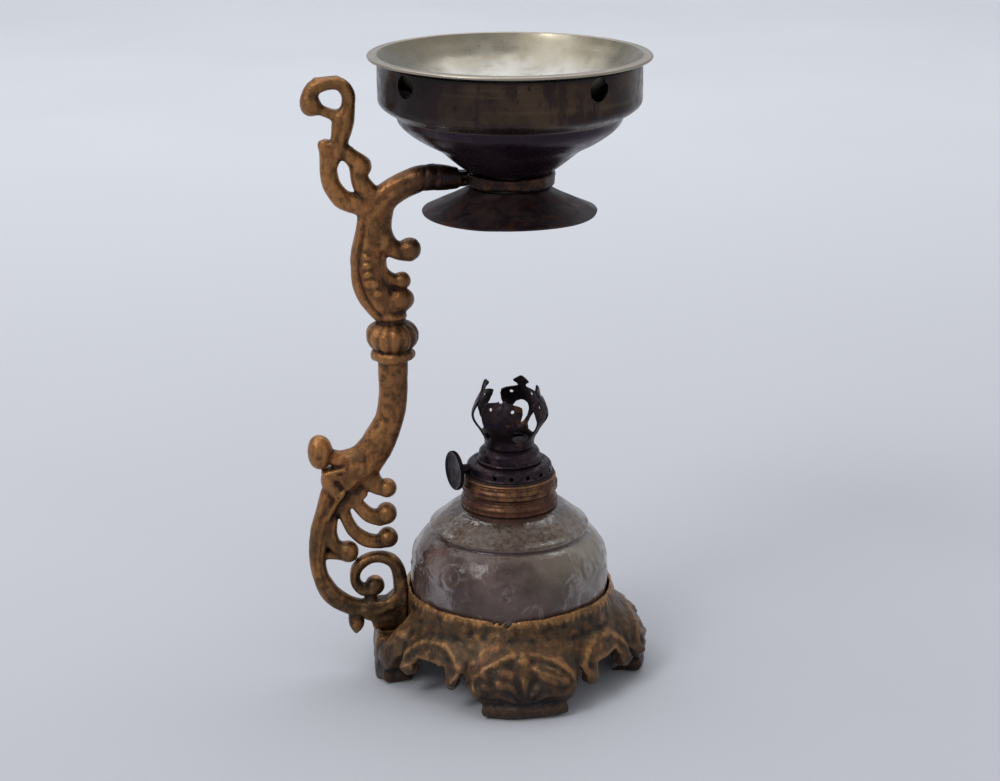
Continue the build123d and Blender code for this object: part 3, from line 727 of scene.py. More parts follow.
# ------------------------------------------------------------- cast bracket
def bracket_arm():
    """The scroll bracket, in the XZ plane: limbs of (x, z, half width), curled ends, leaf cuts,
    the turned knop and the ring."""
    cast = Casting((-55.0, -13.2, 2.8), (13.2, 13.2, 162.5), 0.36)
    # lower scrollwork: the outer frond and its tail, then the plate with the C-scroll
    cast.limb([(-45.4, 53.2, 2.4), (-47.0, 50.2, 2.7), (-48.8, 44.6, 2.5), (-50.0, 39.6, 2.7),
               (-50.7, 35.0, 2.4), (-50.8, 30.6, 2.15), (-49.7, 26.0, 2.3), (-46.9, 21.6, 2.6),
               (-43.0, 18.8, 2.55), (-38.6, 17.8, 2.4), (-34.0, 17.2, 2.4)],
              flutes=((-0.28, 0.15, 0.13), (0.34, 0.15, 0.11)))
    cast.limb([(-46.6, 47.6, 1.9), (-47.2, 43.0, 1.9), (-47.4, 39.4, 1.9), (-46.2, 36.2, 1.9),
               (-43.8, 34.4, 2.2)], (1.0, 0.6), 0.5, ((0.1, 0.25, 0.12),))
    cast.limb([(-49.4, 33.6, 1.4), (-47.2, 33.4, 1.2), (-44.8, 33.4, 1.6)], (0.9, 0.5), 0.4)
    cast.ball((-42.8, 0, 34.2), (2.95, 3.3, 2.95))
    cast.slab([(-27.3, 12.5), (-27.2, 22.6), (-28.0, 26.4), (-29.6, 25.0), (-30.8, 22.6), (-33.0, 20.6),
               (-36.8, 20.4), (-39.0, 19.6), (-38.8, 15.6), (-36.9, 14.8), (-36.3, 12.5)], 2.7, 0.9)
    cast.limb([(-29.2, 20.0, 2.0), (-29.1, 23.4, 1.9), (-29.3, 27.0, 1.9), (-30.5, 30.2, 1.75),
               (-33.0, 32.0, 1.6), (-35.9, 32.3, 1.5), (-38.7, 31.3, 1.55), (-40.8, 28.8, 1.55),
               (-41.0, 25.7, 1.5), (-39.5, 23.4, 1.55), (-37.4, 23.0, 1.8), (-36.0, 24.0, 2.3)],
              (1.5, 0.55), 0.5, ((0.35, 0.2, 0.14),))
    cast.ball((-35.9, 0, 24.2), (2.5, 3.0, 2.5))
    cast.limb([(-36.8, 22.4, 1.4), (-37.2, 20.0, 1.8)], soft=0.5)
    cast.limb([(-41.4, 16.6, 1.9), (-41.1, 13.8, 2.1), (-41.1, 11.4, 0.8)], (0.6, 0.8), 0.3)
    cast.grooves(0.3, 0.3, [(-43.3, 1.9, 15.6), (-41.2, 2.3, 15.2), (-39.2, 2.0, 15.4)])
    cast.beads(0.5, 0.9, [(-42.4, 2.2, 17.9), (-38.8, 2.4, 17.2), (-35.0, 2.5, 17.4), (-31.4, 2.5, 18.8)])
    cast.beads(0.4, 0.7, [(-27.9, 2.4, 13.2), (-27.8, 2.4, 22.0)])
    for side in FACES:
        cast.pit((-48.4, side * 2.5, 33.6), (0.7, 1.2, 1.0))
        cast.pit((-49.0, side * 2.6, 31.4), (0.5, 0.9, 0.9))
    # the three upper curls with the fan of leaf between them
    cast.slab([(-46.4, 50.6), (-45.6, 46.0), (-43.6, 44.4), (-41.6, 46.8), (-39.4, 47.6), (-37.4, 50.2),
               (-38.2, 54.6), (-42.8, 56.6), (-46.2, 54.4)], 1.9, 0.8, 0.8)
    cast.limb([(-44.9, 51.0, 1.8), (-44.2, 47.2, 1.8), (-42.9, 43.3, 1.65), (-41.2, 40.0, 1.75),
               (-38.0, 37.3, 1.9), (-34.6, 36.5, 1.8), (-32.4, 36.5, 1.2)],
              soft=0.45, flutes=((0.35, 0.18, 0.12),))
    cast.ball((-32.2, 0, 37.7), (2.65, 3.1, 2.7))
    cast.limb([(-42.2, 53.4, 1.8), (-41.2, 50.0, 1.6), (-39.6, 46.9, 1.75), (-37.4, 44.5, 1.95),
               (-34.6, 43.2, 2.0), (-32.6, 42.8, 1.2)], soft=0.45, flutes=((-0.1, 0.2, 0.12),))
    cast.ball((-32.5, 0, 44.4), (2.75, 3.2, 2.75))
    cast.limb([(-39.6, 58.0, 3.6), (-37.6, 55.2, 3.2), (-35.2, 52.6, 2.2), (-32.6, 51.0, 1.5)], soft=0.7)
    cast.ball((-32.0, 0, 51.6), (2.4, 2.8, 2.4))
    # the knuckle under the stem
    cast.limb([(-45.2, 51.4, 2.4), (-47.0, 53.8, 2.4), (-46.6, 55.4, 2.2), (-44.0, 55.6, 2.0),
               (-41.6, 55.6, 1.8)], (1.5, 0.7), 0.4)
    cast.limb([(-48.3, 56.4, 1.0), (-46.2, 57.2, 0.95), (-43.6, 57.7, 0.8)], (2.3, 0.6), 0.3)
    cast.beads(0.55, 1.0, [(-48.0, 2.6, 44.4), (-45.8, 2.9, 48.6), (-43.6, 3.0, 51.6), (-40.8, 3.0, 54.6)])
    cast.grooves(0.2, 0.5, [(-48.0, 3.6, 55.4), (-44.6, 3.7, 56.4), (-42.2, 3.7, 57.0)])
    cast.grooves(0.36, 0.4, [(-45.0, 3.2, 50.4), (-43.6, 3.0, 46.8)])
    cast.grooves(0.4, 0.4, [(-42.8, 3.0, 52.4), (-42.0, 2.7, 48.4), (-41.4, 2.4, 46.6)])
    cast.grooves(0.34, 0.4, [(-40.4, 3.0, 52.6), (-39.6, 2.7, 49.4), (-38.8, 2.4, 48.0)])
    # the round stem and the egg on its stalk
    cast.limb([(-30.1, 86.0, 3.75), (-30.15, 80.0, 3.75), (-30.55, 75.0, 3.7), (-31.4, 70.6, 3.75),
               (-33.3, 66.2, 4.15), (-36.0, 61.8, 4.6), (-39.2, 57.8, 4.6), (-42.4, 54.4, 3.8)],
              (1.2, 0.55))
    cast.limb([(-40.6, 60.2, 2.8), (-44.2, 59.9, 2.3), (-46.6, 60.8, 2.0)], (0.9, 0.6), 0.9)
    cast.ball((-49.4, 0, 62.1), (3.35, 3.5, 4.6), soft=0.3)
    for side in FACES:
        cast.pit((-49.9, side * 3.5, 61.6), (1.0, 0.3, 0.42), soft=0.35)
    for x in (-31.0, -29.9, -28.9):
        cast.grooves(0.28, 0.4, [(x, 3.45, 78.6 - abs(x + 29.9)), (x - 0.3, 3.4, 74.6)])
    # an acanthus leaf wrapped up the lower stem
    for side in FACES:
        cast.limb([(-38.4, 57.6, 2.0), (-36.6, 61.6, 2.1), (-34.4, 65.6, 1.8), (-32.9, 70.2, 0.8)],
                  (0.6, 0.5), 0.7, ((0.0, 0.2, 0.16),), at_y=side * 2.2)
    cast.grooves(0.26, 0.4, [(-39.0, 3.7, 63.0), (-37.9, 3.9, 60.2), (-37.6, 3.7, 56.8)])
    cast.grooves(0.24, 0.4, [(-35.4, 3.6, 69.6), (-35.6, 3.8, 66.4), (-37.6, 3.8, 63.6)])
    # the turned collar and the petalled knop
    slices, (x, y, z) = cast.block((-39, -9, 84), (-21, 9, 99))
    away = np.hypot(x - STEM_X, y)
    turn = np.arctan2(y, x - STEM_X)
    petals = np.abs(np.cos(6.5 * turn + 0.4)) ** 0.9
    swell = np.interp(z[0, 0, :], [88.9, 89.6, 90.6, 92.2, 94.0, 95.4, 96.4, 97.2],
                      [3.6, 4.9, 5.9, 6.7, 6.9, 6.3, 5.0, 3.4])[None, None, :]
    knop = np.maximum(away - swell + 0.5 * (1 - petals), np.abs(z - 93.0) - 4.0)
    cast.join(slices, knop * 0.85, 0.5)
    ring = np.hypot((away - 4.55 - 0.2 * petals), (z - 88.1 + 0.2 * np.sin(3 * turn)) * 0.8) - 1.05
    cast.join(slices, np.minimum(ring, np.maximum(away - 4.7, np.abs(z - 88.1) - 1.1)), 0.35)
    cast.join(slices, np.maximum(away - 3.5, np.abs(z - 96.2) - 3.0), 0.5)
    cast.join(slices, np.hypot(away - 3.3, z - 98.4) - 0.6, 0.3)
    # the belly with its rim, row of bosses and curled leaves
    cast.limb([(-30.3, 97.4, 3.4), (-30.8, 99.8, 4.1), (-33.4, 103.6, 4.7), (-35.4, 108.2, 4.7),
               (-36.1, 113.2, 4.4), (-35.2, 118.4, 4.4), (-34.4, 123.4, 4.3), (-32.8, 128.0, 3.9)],
              (1.5, 0.40), flutes=((0.58, 0.12, 0.16), (-0.66, 0.12, 0.10)))
    cast.ball((-28.7, 0, 102.6), (4.2, 3.7, 3.4), soft=1.0)
    for x, z, size in ((-36.6, 114.6, 0.9), (-36.5, 112.4, 1.0), (-36.1, 110.2, 1.0), (-35.0, 107.8, 1.4),
                       (-33.8, 105.2, 1.1)):
        for side in FACES:
            cast.ball((x, side * 3.1, z), (size * 1.15, 0.95, size * 0.95), soft=0.35)
    cast.limb([(-33.2, 109.2, 2.2), (-30.2, 107.9, 1.7), (-28.4, 107.2, 1.4)])
    cast.ball((-27.6, 0, 107.6), (2.15, 2.4, 2.15))
    cast.limb([(-33.4, 119.8, 3.2), (-30.6, 116.8, 2.3), (-27.8, 115.2, 2.0), (-25.6, 114.6, 1.6)], soft=0.7)
    cast.ball((-25.4, 0, 115.8), (2.85, 3.1, 2.95), soft=0.7)
    for side in FACES:
        cast.ball((-32.6, side * 2.5, 118.6), (1.2, 0.8, 2.0))
    cast.grooves(0.28, 0.4, [(-34.6, 3.3, 117.4), (-34.0, 3.5, 121.0), (-32.6, 3.4, 123.4)])
    cast.grooves(0.28, 0.4, [(-34.4, 3.4, 125.4), (-31.0, 3.4, 129.0), (-26.6, 3.2, 131.9)])
    # the upper arm to the ring, with two turned grooves near its end
    cast.limb([(-34.8, 125.6, 3.6), (-31.4, 129.4, 3.6), (-27.6, 131.9, 3.3), (-23.4, 133.7, 3.3)],
              (1.1, 0.6), flutes=((0.3, 0.2, 0.12), (-0.45, 0.2, 0.10)))
    cast.limb([(-24.0, 133.6, 3.0), (-20.4, 134.2, 3.3), (-16.4, 134.0, 3.1), (-12.0, 133.8, 2.3)],
              (1.0, 0.75), 0.5)
    for groove_x in (-21.6, -18.8):
        slices, (x, y, z) = cast.block((groove_x - 2, -6, 128), (groove_x + 2, 6, 140))
        groove = np.hypot(np.hypot(y, z - 134.1) - 3.6, x - groove_x - 0.12 * (z - 134)) - 0.28
        cast.carve(slices, groove, 0.5)
    slices, (x, y, z) = cast.block((-13.2, -13.2, 129), (13.2, 13.2, 139))
    away, turn, above = np.hypot(x, y), np.arctan2(y, x), np.abs(z - RING_Z)
    lumps = 0.25 * np.sin(5 * turn + 1) + 0.12 * np.sin(13 * turn)
    ring = np.hypot((np.abs(away - 10.2) - 0.6).clip(0), (above - 0.9).clip(0))
    cast.join(slices, ring - 0.85 - 0.5 * lumps, 0.4)
    cast.carve(slices, np.hypot(away - 12.0, above) - 0.3, 0.5)

    # the loop, its notched outer edge and its broken stub
    def notched(along, across):
        return 0.16 * np.sin(along * 2.3 + 1.4 * np.sin(along * 1.1)) * smooth_step(0.2, 1.0, across)

    cast.limb([(-34.2, 127.4, 3.4), (-38.4, 127.9, 2.8), (-42.2, 129.2, 2.5), (-44.8, 132.8, 2.3),
               (-45.5, 137.0, 2.2), (-45.4, 141.0, 2.3), (-46.4, 142.9, 1.7)], notches=notched)
    cast.limb([(-44.8, 138.4, 1.9), (-44.0, 141.6, 2.6), (-42.5, 145.2, 2.45), (-41.5, 148.8, 2.65),
               (-40.4, 152.2, 1.8), (-40.3, 155.6, 1.7), (-42.3, 158.1, 1.65), (-45.4, 158.4, 1.75),
               (-48.4, 157.3, 2.0), (-50.0, 154.8, 2.2), (-49.8, 153.2, 2.2)],
              flutes=((0.3, 0.25, 0.12),))
    cast.ball((-49.5, 0, 152.8), (2.75, 2.9, 2.75), soft=1.2)
    cast.limb([(-42.6, 150.0, 1.6), (-45.0, 150.9, 1.3), (-47.6, 151.9, 1.5)], soft=0.8)
    cast.ball((-48.2, 0, 159.2), (0.7, 1.4, 0.7), soft=0.5)
    cast.ball((-43.0, 0, 159.5), (0.6, 1.3, 0.7), soft=0.5)
    cast.limb([(-43.2, 142.0, 2.4), (-41.0, 140.7, 1.9), (-38.6, 138.8, 2.2)], soft=0.8)
    cast.ball((-40.6, 0, 141.4), (1.3, 1.9, 1.1), soft=0.8)
    cast.ball((-37.4, 0, 137.3), (2.75, 2.9, 2.7), soft=0.9)
    cast.limb([(-38.0, 136.0, 2.2), (-37.5, 133.4, 2.5), (-35.2, 129.8, 2.9)])
    slices, (x, y, z) = cast.block((-50, -6, 143.4), (-45.1, 6, 148))
    cast.carve(slices, 144.2 + 0.25 * np.sin(3.1 * x) - z + 0 * y, 0.2)
    # the flat against the base, and the tenon
    slices, (x, y, z) = cast.block((-29, -6, 8), (-25, 6, 30))
    cast.carve(slices, -27.3 - x + 0 * y + 0 * z, 0.3)
    cast.rough(1.3, 0.035, 3)
    cast.rough(4.0, 0.10, 4)
    slices, (x, y, z) = cast.block((-36, -4, 2.8), (-28, 4, 16))
    tenon = np.maximum(np.maximum(np.abs(x - TENON_X) - 2.3, np.abs(y) - 2.1), np.abs(z - 9.6) - 5.2)
    cast.join(slices, tenon, 0.3)
    # the ring's bore and flat faces stay clear of the vaporizer
    slices, (x, y, z) = cast.block((-13.2, -13.2, 129), (13.2, 13.2, 139))
    away, above = np.hypot(x, y), np.abs(z - RING_Z)
    cast.carve(slices, away - 9.5 + 0 * z, 0.1)
    cast.carve(slices, np.maximum(away - 13, 1.85 - above), 0.1)
    return add_casting("bracket", cast, "bracket")


# ----------------------------------------------------------------- cast base
def base_casting():
    """The footed base: concave wall, shell feet, scroll pendants and beaded seat."""
    top = box_mm("base_casting")[1][2]
    seat = box_mm("glass_font")[1][0] + 0.25
    cast = Casting((-39.6, -39.6, -0.6), (39.6, 39.6, top + 0.9), 0.38)
    slices, (x, y, z) = cast.whole()
    away = np.hypot(x, y)
    angle = np.arctan2(y, x)
    local = angle - np.round(angle / QUARTER) * QUARTER
    signed = local * WALL_R         # along the wall, from the middle of the nearest foot
    side = np.abs(signed)
    z_line = z[0, 0, :]

    def by_height(heights, values):
        return np.interp(z_line, heights, values).astype(np.float32)[None, None, :]

    wall = by_height([0, 3, 6, 8, 10, 12, 14, 16, 18, 20, 22, 24.3],
                     [33.0, 34.0, 34.4, 34.2, 33.8, 33.2, 32.0, 30.4, 28.9, 28.1, 27.7, 27.3])
    foot = by_height([0, 1, 2, 3.0, 4.2, 5.5, 7, 9, 11, 13, 15, 17, 19, 21, 24.3],
                     [34.4, 35.8, 36.3, 36.3, 36.0, 36.0, 36.6, 36.4, 35.6, 34.4, 32.8, 30.8,
                      28.9, 28.0, 27.3])
    outer = wall + (foot - wall) * smooth_step(17.5, 10.0, side)

    def ridge(points, width, height):
        """A raised line on the wall through (along, up) points."""
        near = np.full(side.shape, 1e9, np.float32)
        for along, up in curve(points, 0.5):
            near = np.minimum(near, np.hypot(side - along, z - up))
        return height * np.exp(-(near / width) ** 2)

    def oval(along, up, wide, tall, lean=0.0):
        a, b = side - along, z - up
        return np.hypot((a * math.cos(lean) + b * math.sin(lean)) / wide,
                        (b * math.cos(lean) - a * math.sin(lean)) / tall)

    # the shell's border with a curl at each end, its top knob, two leaves and a fan of ribs
    shell_relief = ridge([(12.6, 8.4), (12.9, 10.0), (12.0, 12.0), (9.6, 14.0), (6.0, 15.6), (2.6, 16.6)],
                         0.9, 0.75)
    shell_relief += 0.9 * np.exp(-oval(11.7, 7.6, 1.4, 1.3) ** 2)
    shell_relief += 1.0 * np.exp(-oval(0.0, 15.9, 1.7, 1.5) ** 2)
    leaf = oval(6.8, 11.9, 4.6, 1.8, -0.42)
    vein = (z - 11.9) + 0.45 * (side - 6.8)
    right = smooth_step(-0.5, 0.5, signed)
    shell_relief += smooth_step(1.3, 0.7, leaf) * (0.8 + 0.16 * np.cos(vein * 3.6)) * right
    for along, up, size, lift in ((9.4, 12.0, 1.5, 0.7), (6.2, 13.2, 1.6, 0.7), (6.0, 10.2, 1.3, 0.7),
                                  (9.6, 9.4, 1.0, 0.6), (3.2, 9.6, 1.1, 0.6), (3.6, 12.6, 1.0, 0.5)):
        shell_relief += lift * np.exp(-oval(along, up, size * 1.3, size * 0.8, 0.5) ** 2) * (1 - right)
    shell_relief -= 0.45 * np.exp(-(oval(2.2, 10.6, 1.3, 2.2) ** 2))
    turn = np.arctan2(signed, z - 4.2)
    reach = np.hypot(signed, z - 4.2)
    fan = np.cos(turn * 11.0) * smooth_step(1.4, 2.6, reach) * smooth_step(8.0, 5.6, reach)
    shell_relief += 0.26 * fan * smooth_step(1.5, 1.2, np.abs(turn))
    shell_relief -= 0.5 * np.exp(-((z - 4.2) / 0.6) ** 2) * smooth_step(12.0, 9.5, side)
    # the bracket's own foot is plain
    plain = smooth_step(2.3, 2.6, np.abs(angle)) * smooth_step(16.0, 13.5, side)
    relief = shell_relief * (1 - plain)
    # the pendant scrolls between the feet
    relief += ridge([(MIDWAY, 16.4), (23.6, 16.2), (20.6, 14.8), (18.2, 12.6), (17.6, 10.4), (18.4, 8.6)],
                    1.05, 0.65)
    relief += 1.5 * np.exp(-oval(19.3, 8.6, 1.7, 1.6) ** 2)
    relief -= 0.4 * np.exp(-oval(15.6, 12.2, 0.9, 3.0) ** 2)
    outer = outer + relief * smooth_step(20.5, 18.0, z)

    inner = by_height([0, 2.8, 6, 8, 10, 11.2], [27.6, 30.6, 31.4, 31.4, 30.4, 28.8])
    half = by_height([0, 1, 2.5, 4.2, 5.2, 7, 9, 10.5, 12, 14, 16, 17.5, 19.5],
                     [9.6, 10.6, 10.8, 10.4, 12.0, 13.6, 14.6, 15.4, 16.0, 15.6, 13.2, 10.0, 2.0])
    arch = np.hypot((side - MIDWAY) / 1.15, z - 9.0)
    lower = np.minimum(side - half, np.maximum(9.4 - z, 4.4 - arch))
    lower = np.maximum(lower, (1 - oval(16.2, 7.0, 0.8, 3.0)) * 0.8)
    lower = np.minimum(lower, np.hypot(side - 19.3, (z - 8.6) * 0.95) - 2.2)
    wall_part = np.maximum(np.maximum(away - outer, inner + 0.4 - away), lower)
    above = np.maximum(np.maximum(away - outer, 17.0 - away), 11.3 - z)
    cast.join(slices, np.minimum(wall_part, above) * 0.85, 0.4)
    bore = by_height([13.1, 14.8, 18.0, 25.0], [23.4, 25.4, seat, seat])
    cast.carve(slices, np.maximum(away - bore, 13.1 - z), 0.15)
    cast.carve(slices, top - 0.35 - z + 0 * away, 0.3)
    # a row of small beads under the rim, worn away in places
    bead_step = 2 * np.pi / RIM_BEADS
    bead_turn = np.round(angle / bead_step) * bead_step
    size = 0.50 + 0.16 * np.sin(bead_turn * 5 + 1) * np.sin(bead_turn * 3)
    bead = np.sqrt((away * np.cos(angle - bead_turn) - 27.35) ** 2
                   + (away * np.sin(angle - bead_turn)) ** 2 + (z - top + 1.7) ** 2) - size
    cast.join(slices, bead, 0.5)
    # the bracket's own foot: a rounded block with a socket, and a flat on the wall
    slices, (x, y, z) = cast.block((-39.6, -11, -0.6), (-22, 11, top + 1))
    reach = [np.abs(x + 31.2) - 2.6, np.abs(y) - 5.2, np.abs(z - 5.4) - 4.6]
    block = np.sqrt(sum(np.clip(r, 0, None) ** 2 for r in reach)) - 2.2
    cast.join(slices, block, 1.0)
    slot = np.maximum(np.maximum(x + 27.15, np.abs(y) - 9.0), 12.0 - z)
    cast.carve(slices, slot, 0.4)
    cast.rough(1.1, 0.06, 11)
    cast.rough(2.4, 0.07, 13)
    cast.rough(5.5, 0.14, 12)
    socket = np.maximum(np.maximum(np.abs(x - TENON_X) - 2.6, np.abs(y) - 2.4), 4.0 - z)
    cast.carve(slices, socket, 0.15)
    slices, (x, y, z) = cast.whole()
    cast.carve(slices, z + 0.02 + 0 * x + 0 * y, 0.1)
    return add_casting("base", cast, "base")


# --------------------------------------------------------------- glass and collar
def glass_font():
    """Pressed glass: a stepped shoulder and a full belly, with a soft garland and four rosettes."""
    low, high = box_mm("glass_font")
    foot, neck_top = low[2], high[2]
    outer = np.vstack([
        [(8.6, neck_top), (10.9, neck_top), (10.9, 46.1), (12.9, 46.3)],
        curve([(12.9, 46.3), (15.2, 45.5), (17.7, 43.6), (19.6, 41.9)])[1:],
        curve([(20.3, 41.5), (20.9, 41.0), (20.9, 40.4), (20.4, 39.8), (20.7, 39.3)], 0.15),
        curve([(21.1, 39.1), (23.0, 37.5), (25.1, 34.2), (26.15, 29.0), (26.0, 22.6), (24.8, 17.2),
               (22.4, 14.3), (19.6, foot + 0.1)])[1:],
        [(18.6, foot), (16.0, foot), (13.0, 14.2), (0, 14.2)]])
    inner = np.vstack([[(0, 17.0), (17.0, 17.0)],
                       curve([(17.0, 17.0), (21.6, 18.6), (23.4, 23.0), (23.8, 28.4), (22.6, 33.4),
                              (19.6, 37.6), (14.6, 41.6), (8.6, 44.6)])[1:]])

    def pressed(points):
        moved = out_of_round(points, 0.10, 22.0, 5)
        away, turn, z = np.hypot(*points[:, :2].T), np.arctan2(points[:, 1], points[:, 0]), points[:, 2]
        outside = away > np.interp(z, [24, 28, 34, 38], [25.2, 25.4, 24.4, 21.6])
        leaf = np.exp(-((z - 33.2 - np.sin(turn * GARLAND_WAVES)) / 0.55) ** 2)
        drop = np.exp(-((z - 30.6) / 0.8) ** 2) * smooth_step(0.86, 0.98, np.cos(turn * GARLAND_WAVES))
        off_middle = turn + ROSETTE_TURN - np.round((turn + ROSETTE_TURN) / QUARTER) * QUARTER
        from_rosette = np.hypot(off_middle * BELLY_R, z - 33.4)
        rosette = np.exp(-((from_rosette - 2.6) / 0.5) ** 2) + np.exp(-(from_rosette / 0.8) ** 2)
        lift = np.where(from_rosette < 4.2, 0.4 * rosette, 0.28 * leaf + 0.34 * drop) * outside
        moved[:, :2] *= (1 + lift / np.maximum(away, 1))[:, None]
        return moved

    piece = turned("glass_font_blown", np.vstack([outer, inner]), "lamp", 320, pressed, 50)
    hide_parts("glass_font")
    paint(piece, glass_material())


def font_collar():
    """Rolled brass collar: a bright bead on top, two swelling bands and thread lines."""
    low, high = box_mm("font_collar")
    top, bottom = high[2], low[2]
    outline = [(10.86, top - 0.2), (11.2, top), (11.9, top)]
    outline += curve([(12.1, top - 0.1), (12.25, top - 0.4), (12.0, top - 0.75)], 0.12).tolist()
    waist = 49.9
    for z in np.arange(top - 0.9, waist, -0.12):
        swell = 12.05 + 0.75 * math.sin(math.pi * (z - waist) / (top - 0.9 - waist)) ** 0.8
        outline.append((swell - 0.09 * (1 - math.cos(2 * math.pi * (z - waist) / 1.32)), z))
    outline += [(12.0, waist - 0.1), (12.0, waist - 0.3)]
    for z in np.arange(waist - 0.4, bottom + 0.3, -0.12):
        swell = 12.05 + 0.8 * math.sin(math.pi * (waist - 0.3 - z) / 4.6) ** 0.9
        outline.append((swell - 0.08 * (1 - math.cos(2 * math.pi * (z - waist + 0.3) / 1.5)), z))
    outline += [(12.5, bottom), (11.9, bottom), (11.9, 50.2), (10.86, 50.2)]
    piece = turned("collar", outline, "lamp", 200, drifting(0.05, 9.0, 8), 40)
    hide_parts("font_collar")
    paint(piece, collar_material(top))


def knob_axis():
    """The direction that the wick's knob stands out in."""
    return next(j["axis"] for j in frame["record"]["behaviour"]["joints"] if j["name"] == "knob_turn")


def round_cutter(turn, height, radius, away=11):
    """A round bar pointing out from the lamp's axis, to cut a hole with."""
    bpy.ops.mesh.primitive_cylinder_add(vertices=40, radius=radius * MM, depth=12 * MM)
    bar = bpy.context.object
    bar.location = Vector((away * math.cos(turn), away * math.sin(turn), height)) * MM
    bar.rotation_euler = (math.pi / 2, 0, turn + math.pi / 2)
    return bar


def cut(piece, cutters):
    """Takes the cutters' shapes out of a piece."""
    for cutter in cutters:
        step = piece.modifiers.new("cut", "BOOLEAN")
        step.object, step.solver = cutter, "EXACT"
        bpy.context.view_layer.objects.active = piece
        bpy.ops.object.modifier_apply(modifier=step.name)
        bpy.data.objects.remove(cutter)
    piece.data.set_sharp_from_angle(angle=math.radians(30))


# --------------------------------------------------------------------- burner
def burner():
    """The burner: shell with air holes, and stepped cap with its flame slot."""
    soot = plain_worn_brass("sooty brass", srgb(60, 44, 50), srgb(38, 28, 37), srgb(20, 14, 19), 0.8)
    low, high = box_mm("burner_shell")
    foot, deck = low[2], high[2]
    lip = box_mm("burner_gasket")[1][2] + 0.05
    outline = np.vstack([
        [(10.3, foot), (10.74, foot), (10.74, lip), (11.55, lip), (11.62, lip + 0.2), (11.5, lip + 0.42),
         (11.25, lip + 0.6)],
        curve([(11.2, lip + 0.8), (11.18, 56.9), (10.85, 57.7), (10.0, 58.25), (9.2, deck)], 0.2),
        [(8.9, deck - 0.12), (6.4, deck - 0.05), (6.4, deck - 0.45), (8.9, deck - 0.5)],
        curve([(9.4, deck - 0.5), (10.3, 57.6), (10.75, 56.8), (10.75, lip + 0.7)], 0.3),
        [(10.3, lip + 0.4)]])
    shell = turned("shell", outline, "burner", 192, drifting(0.05, 7.0, 51))
    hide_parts("burner_shell")
    paint(shell, soot)
    knob_turn = math.atan2(knob_axis()[1], knob_axis()[0])
    # 22.5 degrees apart, with a gap on each side of the knob's shaft
    cut(shell, [round_cutter(knob_turn + index * math.pi / 8, 56.6, 0.55) for index in range(2, 15)])

    z0 = box_mm("burner_cap")[0][2]
    outline = np.vstack([
        [(7.55, z0), (8.3, z0), (8.42, z0 + 0.2), (8.3, z0 + 0.42), (8.02, z0 + 0.6), (8.0, z0 + 1.5)],
        curve([(8.0, z0 + 1.7), (7.85, z0 + 2.6), (7.1, z0 + 3.4), (6.2, z0 + 3.9)], 0.2),
        [(5.95, z0 + 4.2), (5.95, z0 + 5.0)],
        curve([(5.9, z0 + 5.2), (4.9, z0 + 5.9), (2.6, z0 + 6.25), (0, z0 + 6.3)], 0.25),
        [(0, z0 + 5.9)],
        curve([(2.2, z0 + 5.85), (4.5, z0 + 5.4), (5.5, z0 + 4.8)], 0.4),
        [(5.5, z0 + 3.9)],
        curve([(5.55, z0 + 3.8), (7.0, z0 + 3.1), (7.55, z0 + 1.8)], 0.3)])
    cap = turned("cap", outline, "burner", 160, drifting(0.05, 6.0, 52))
    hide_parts("burner_cap")
    bpy.ops.mesh.primitive_cube_add(size=MM)
    flame_slot = bpy.context.object
    flame_slot.scale = (8.2, 2.4, 5.0)
    flame_slot.rotation_euler = (0, 0, knob_turn)
    flame_slot.location = (0, 0, (z0 + 6.5) * MM)
    cut(cap, [flame_slot])
    paint(cap, soot)
    for node in ("shaft_bush", "tube_plate", "wick_tube", "wheel_housing", "air_screen"):
        repaint(node, soot)


# ------------------------------------------------------------------ vaporizer
def vaporizer():
    """The bowl with its vents, and the flare with its throat, both of thin sheet."""
    low, high = box_mm("vapor_bowl")
    z0, rim, radius = low[2], high[2], high[0]
    side = np.vstack([
        [(9.44, z0)],
        curve([(11.0, z0), (12.9, z0 + 1.25), (15.4, z0 + 3.25), (18.2, z0 + 5.5), (22.2, z0 + 7.65),
               (25.7, z0 + 10.0), (27.7, z0 + 12.0), (28.6, z0 + 14.0)], 0.5),
        curve([(28.7, z0 + 14.15), (28.95, z0 + 14.3), (29.3, z0 + 14.4)], 0.1),
        curve([(29.5, z0 + 14.6), (31.2, z0 + 15.6), (32.4, z0 + 16.6), (radius - 0.05, z0 + 17.6),
               (radius, z0 + 18.6)], 0.4),
        [(radius, z) for z in np.arange(z0 + 19.4, rim - 0.6, 1.0)],
        [(radius, rim)]])
    bowl = turned("bowl", sheet(side, 0.6), "vaporizer", 224, drifting(0.14, 30.0, 21), 30)
    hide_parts("vapor_bowl")
    paint(bowl, bowl_material(z0, rim))
    cut(bowl, [round_cutter(math.radians(-56 + 90 * index), rim - 3.0, 2.9, 33) for index in range(4)])

    low, high = box_mm("heat_flare")
    throat, lip = 9.42, z0 + 0.6
    trumpet = curve([(10.4, 131.6), (11.9, 130.3), (14.5, 128.9), (18.0, 127.3),
                     (high[0] - 0.15, low[2] + 0.45)], 0.4)
    under = sheet(trumpet, -0.5)
    outline = np.vstack([[(throat, lip), (throat, 131.65)], trumpet, under[len(trumpet):],
                         [(throat - 0.5, 130.5), (throat - 0.5, lip + 0.5), (10.6, lip + 0.5), (10.6, lip)]])
    flare = turned("flare", outline, "vaporizer", 200, drifting(0.28, 20.0, 33), 30)
    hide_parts("heat_flare")
    paint(flare, flare_material())


